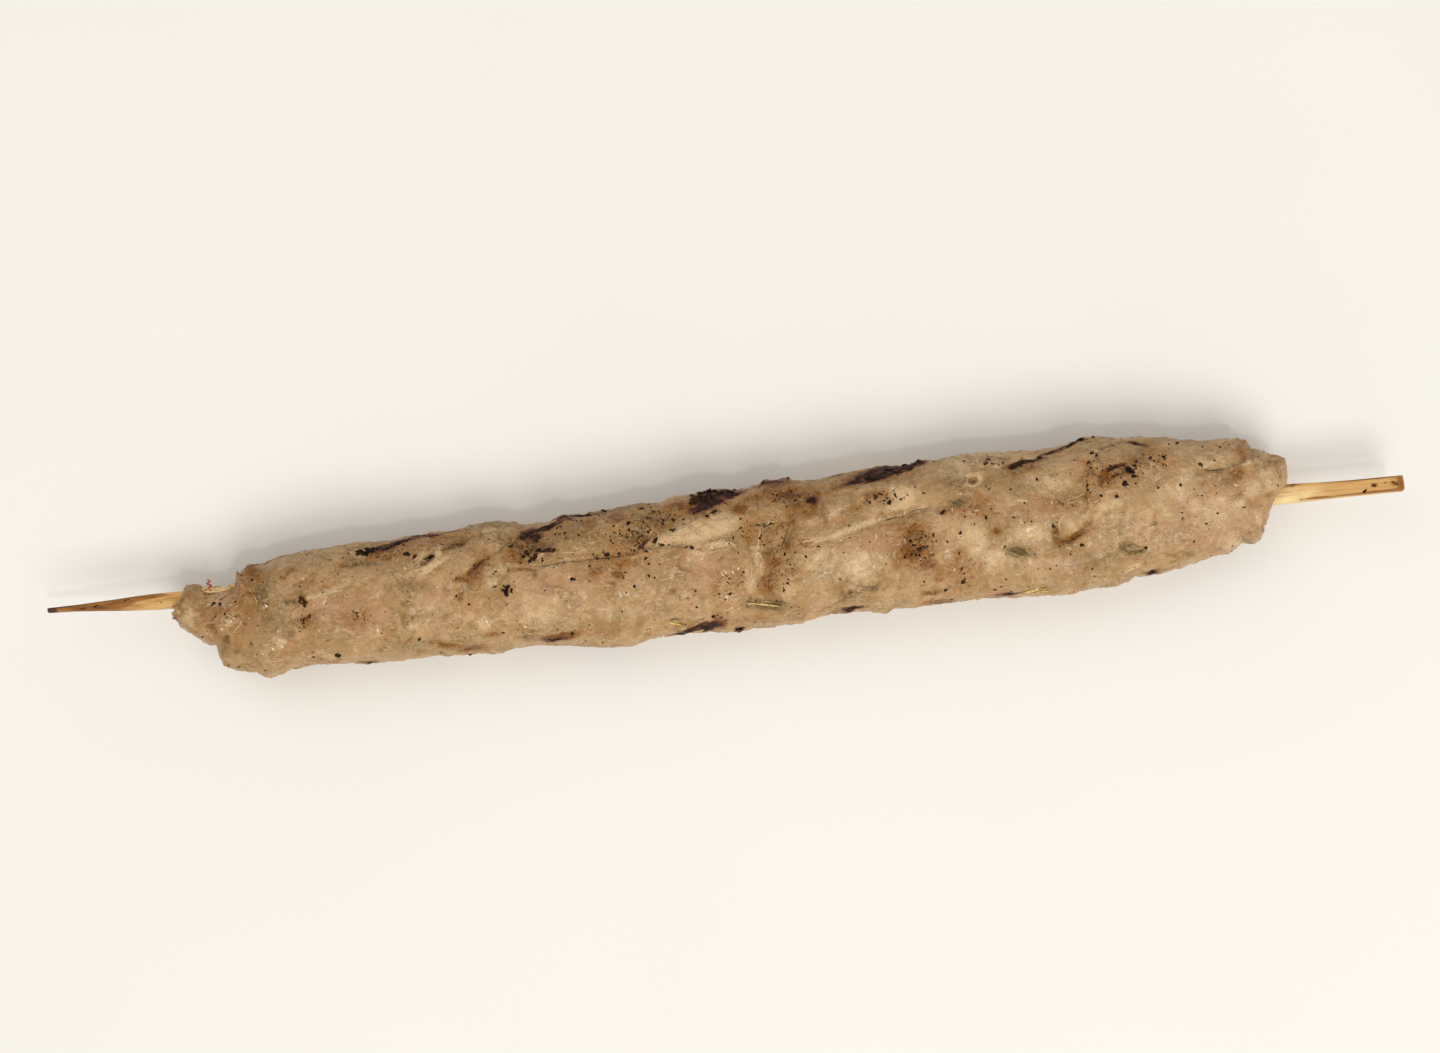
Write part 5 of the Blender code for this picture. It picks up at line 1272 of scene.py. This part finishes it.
def make_stick(material):
    """The stick with raised fibres along its faces, browned and greasy where it shows."""
    shape = bmesh.new()
    shape.from_mesh(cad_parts["wooden_stick"].data)
    bmesh.ops.remove_doubles(shape, verts=shape.verts, dist=WELD_GAP)
    piece = new_piece("split_bamboo_stick", shape, material)
    solid = faces_of(piece)
    remeshed(piece, STICK_CELL, 0)
    for vertex in piece.data.vertices:
        vertex.co = solid.find_nearest(vertex.co)[0]
    points, normals, millimetres = points_of(piece)
    fibres = noise_at(millimetres * np.array([STICK_FIBRE_STRETCH, 1.0, 1.0]), STICK_FIBRE_SIZE, 4.0)
    on_sides = 1 - np.abs(normals[:, 0])
    points += normals * (STICK_FIBRE_HEIGHT * MM * fibres * on_sides)[:, None]
    piece.data.vertices.foreach_set("co", points.ravel())
    seen = as_seen(millimetres)
    far_edge = step_up(normals[:, 1], 0.1, 0.75)
    # The faces turned towards the far side are made darker near both ends, and the pointed end darker towards
    # its tip.
    browned = [
        patch_mask(seen, STICK_BROWN),
        0.9 * step_up(-seen[:, 0], 102.0, 112.0) * far_edge,
        0.58 * step_up(-seen[:, 0], 104.0, 114.0),
        0.5 * step_up(seen[:, 0], 108.0, 113.0) * far_edge,
    ]
    painted(piece, {"brown": np.max(browned, axis=0)})
    painted(piece, {"char": patch_mask(seen, STICK_CHAR), "fat": patch_mask(seen, STICK_FAT)})
    piece.data.shade_smooth()
    piece.data.update()
    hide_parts("wooden_stick")
    return piece


# The set

def make_floor():
    """A plain pale surface under the kebab."""
    material, tree, shader, spot = new_material("pale_surface", 0.6)
    cloud = noise_node(tree, spot, 9.0, 2.0)
    pale = mix_colour(tree, cloud, colour(232, 229, 222), colour(238, 235, 229))
    feed(tree, shader, {"Base Color": pale})
    shape = bmesh.new()
    bmesh.ops.create_grid(shape, x_segments=1, y_segments=1, size=3.0)
    floor = in_scene("floor", mesh_from("floor", shape, material))


def make_light(name, location, size, power, tint):
    """A round soft light that looks at the kebab."""
    light = bpy.data.lights.new(name, "AREA")
    light.shape = "DISK"
    light.size = size
    light.energy = power
    light.color = tint
    lamp = in_scene(name, light)
    lamp.location = location
    lamp.rotation_euler = (-Vector(location)).to_track_quat("-Z", "Y").to_euler()


def make_lights():
    """A soft window on the near side, a smaller lamp before it, and a weak light beyond."""
    make_light("window", (0.35, -1.15, 1.6), 1.1, 18.5, WARM_WHITE)
    make_light("lamp", (0.25, -0.5, 1.7), 0.16, 3.5, WARM_WHITE)
    make_light("fill", (-0.6, 0.9, 1.5), 1.4, 5.0, (1.0, 0.99, 0.98))
    world = bpy.data.worlds.new("soft_room")
    world.use_nodes = True
    world.node_tree.nodes["Background"].inputs["Color"].default_value = (*WARM_WHITE, 1.0)
    world.node_tree.nodes["Background"].inputs["Strength"].default_value = 0.58
    bpy.context.scene.world = world
    bpy.context.scene.view_settings.view_transform = "Standard"


def make_camera():
    """Straight above, turned so that the stick lies as in the picture."""
    camera = bpy.data.cameras.new("camera")
    camera.lens = LENS
    camera.sensor_width = SENSOR
    foot = camera_foot()
    viewer = in_scene("camera", camera)
    viewer.location = place(foot.x, foot.y) + Vector((0, 0, EYE_HEIGHT * MM))
    viewer.rotation_euler = (0.0, 0.0, -PICTURE_TURN)
    bpy.context.scene.camera = viewer


def main():
    """The camera, the floor and the lights, then the roll and the stick, and what lies on them."""
    make_camera()
    make_floor()
    make_lights()
    ragged = ragged_edge_group()
    skin = faces_of(make_roll(mince_material(ragged, wisps_group(), granules_group())))
    wood = faces_of(make_stick(bamboo_material(ragged)))
    charred = crumb_material()
    new_piece("charred_crumbs", gathered(crumbs_and_specks(skin, wood)), charred)
    new_piece("fat_beads_and_painted_glints", gathered(beads(skin)), fat_and_glint_material())
    straw = herb_material("dry_straw", colour(168, 130, 66), colour(222, 194, 120))
    green = herb_material("dry_green_herb", colour(70, 66, 30), colour(128, 120, 58))
    red = herb_material("red_spice", colour(126, 38, 26), colour(176, 84, 60))
    pale = herb_material("pale_fibres_and_highlights", colour(192, 156, 108), colour(218, 184, 136))
    # Each kind of strand, and how far it is raised from the skin as a share of its radius.
    kinds = [
        ("herb_straws", STRAWS, straw, 0.6),
        ("green_herb_bits", GREEN_BITS, green, 0.3),
        ("red_curl", [RED_CURL], red, 1.2),
        ("pale_fibres_and_highlights", fibre_strands() + PALE_FOLDS_AND_HIGHLIGHTS, pale, 0.0),
        ("charred_and_crease_shade_lines", CHARRED_AND_CREASE_SHADE_LINES, charred, -0.2),
    ]
    for name, strands, material, lift in kinds:
        shape = gathered(strand(skin, path, thickness, lift) for path, thickness in strands)
        new_piece(name, shape, material)


main()
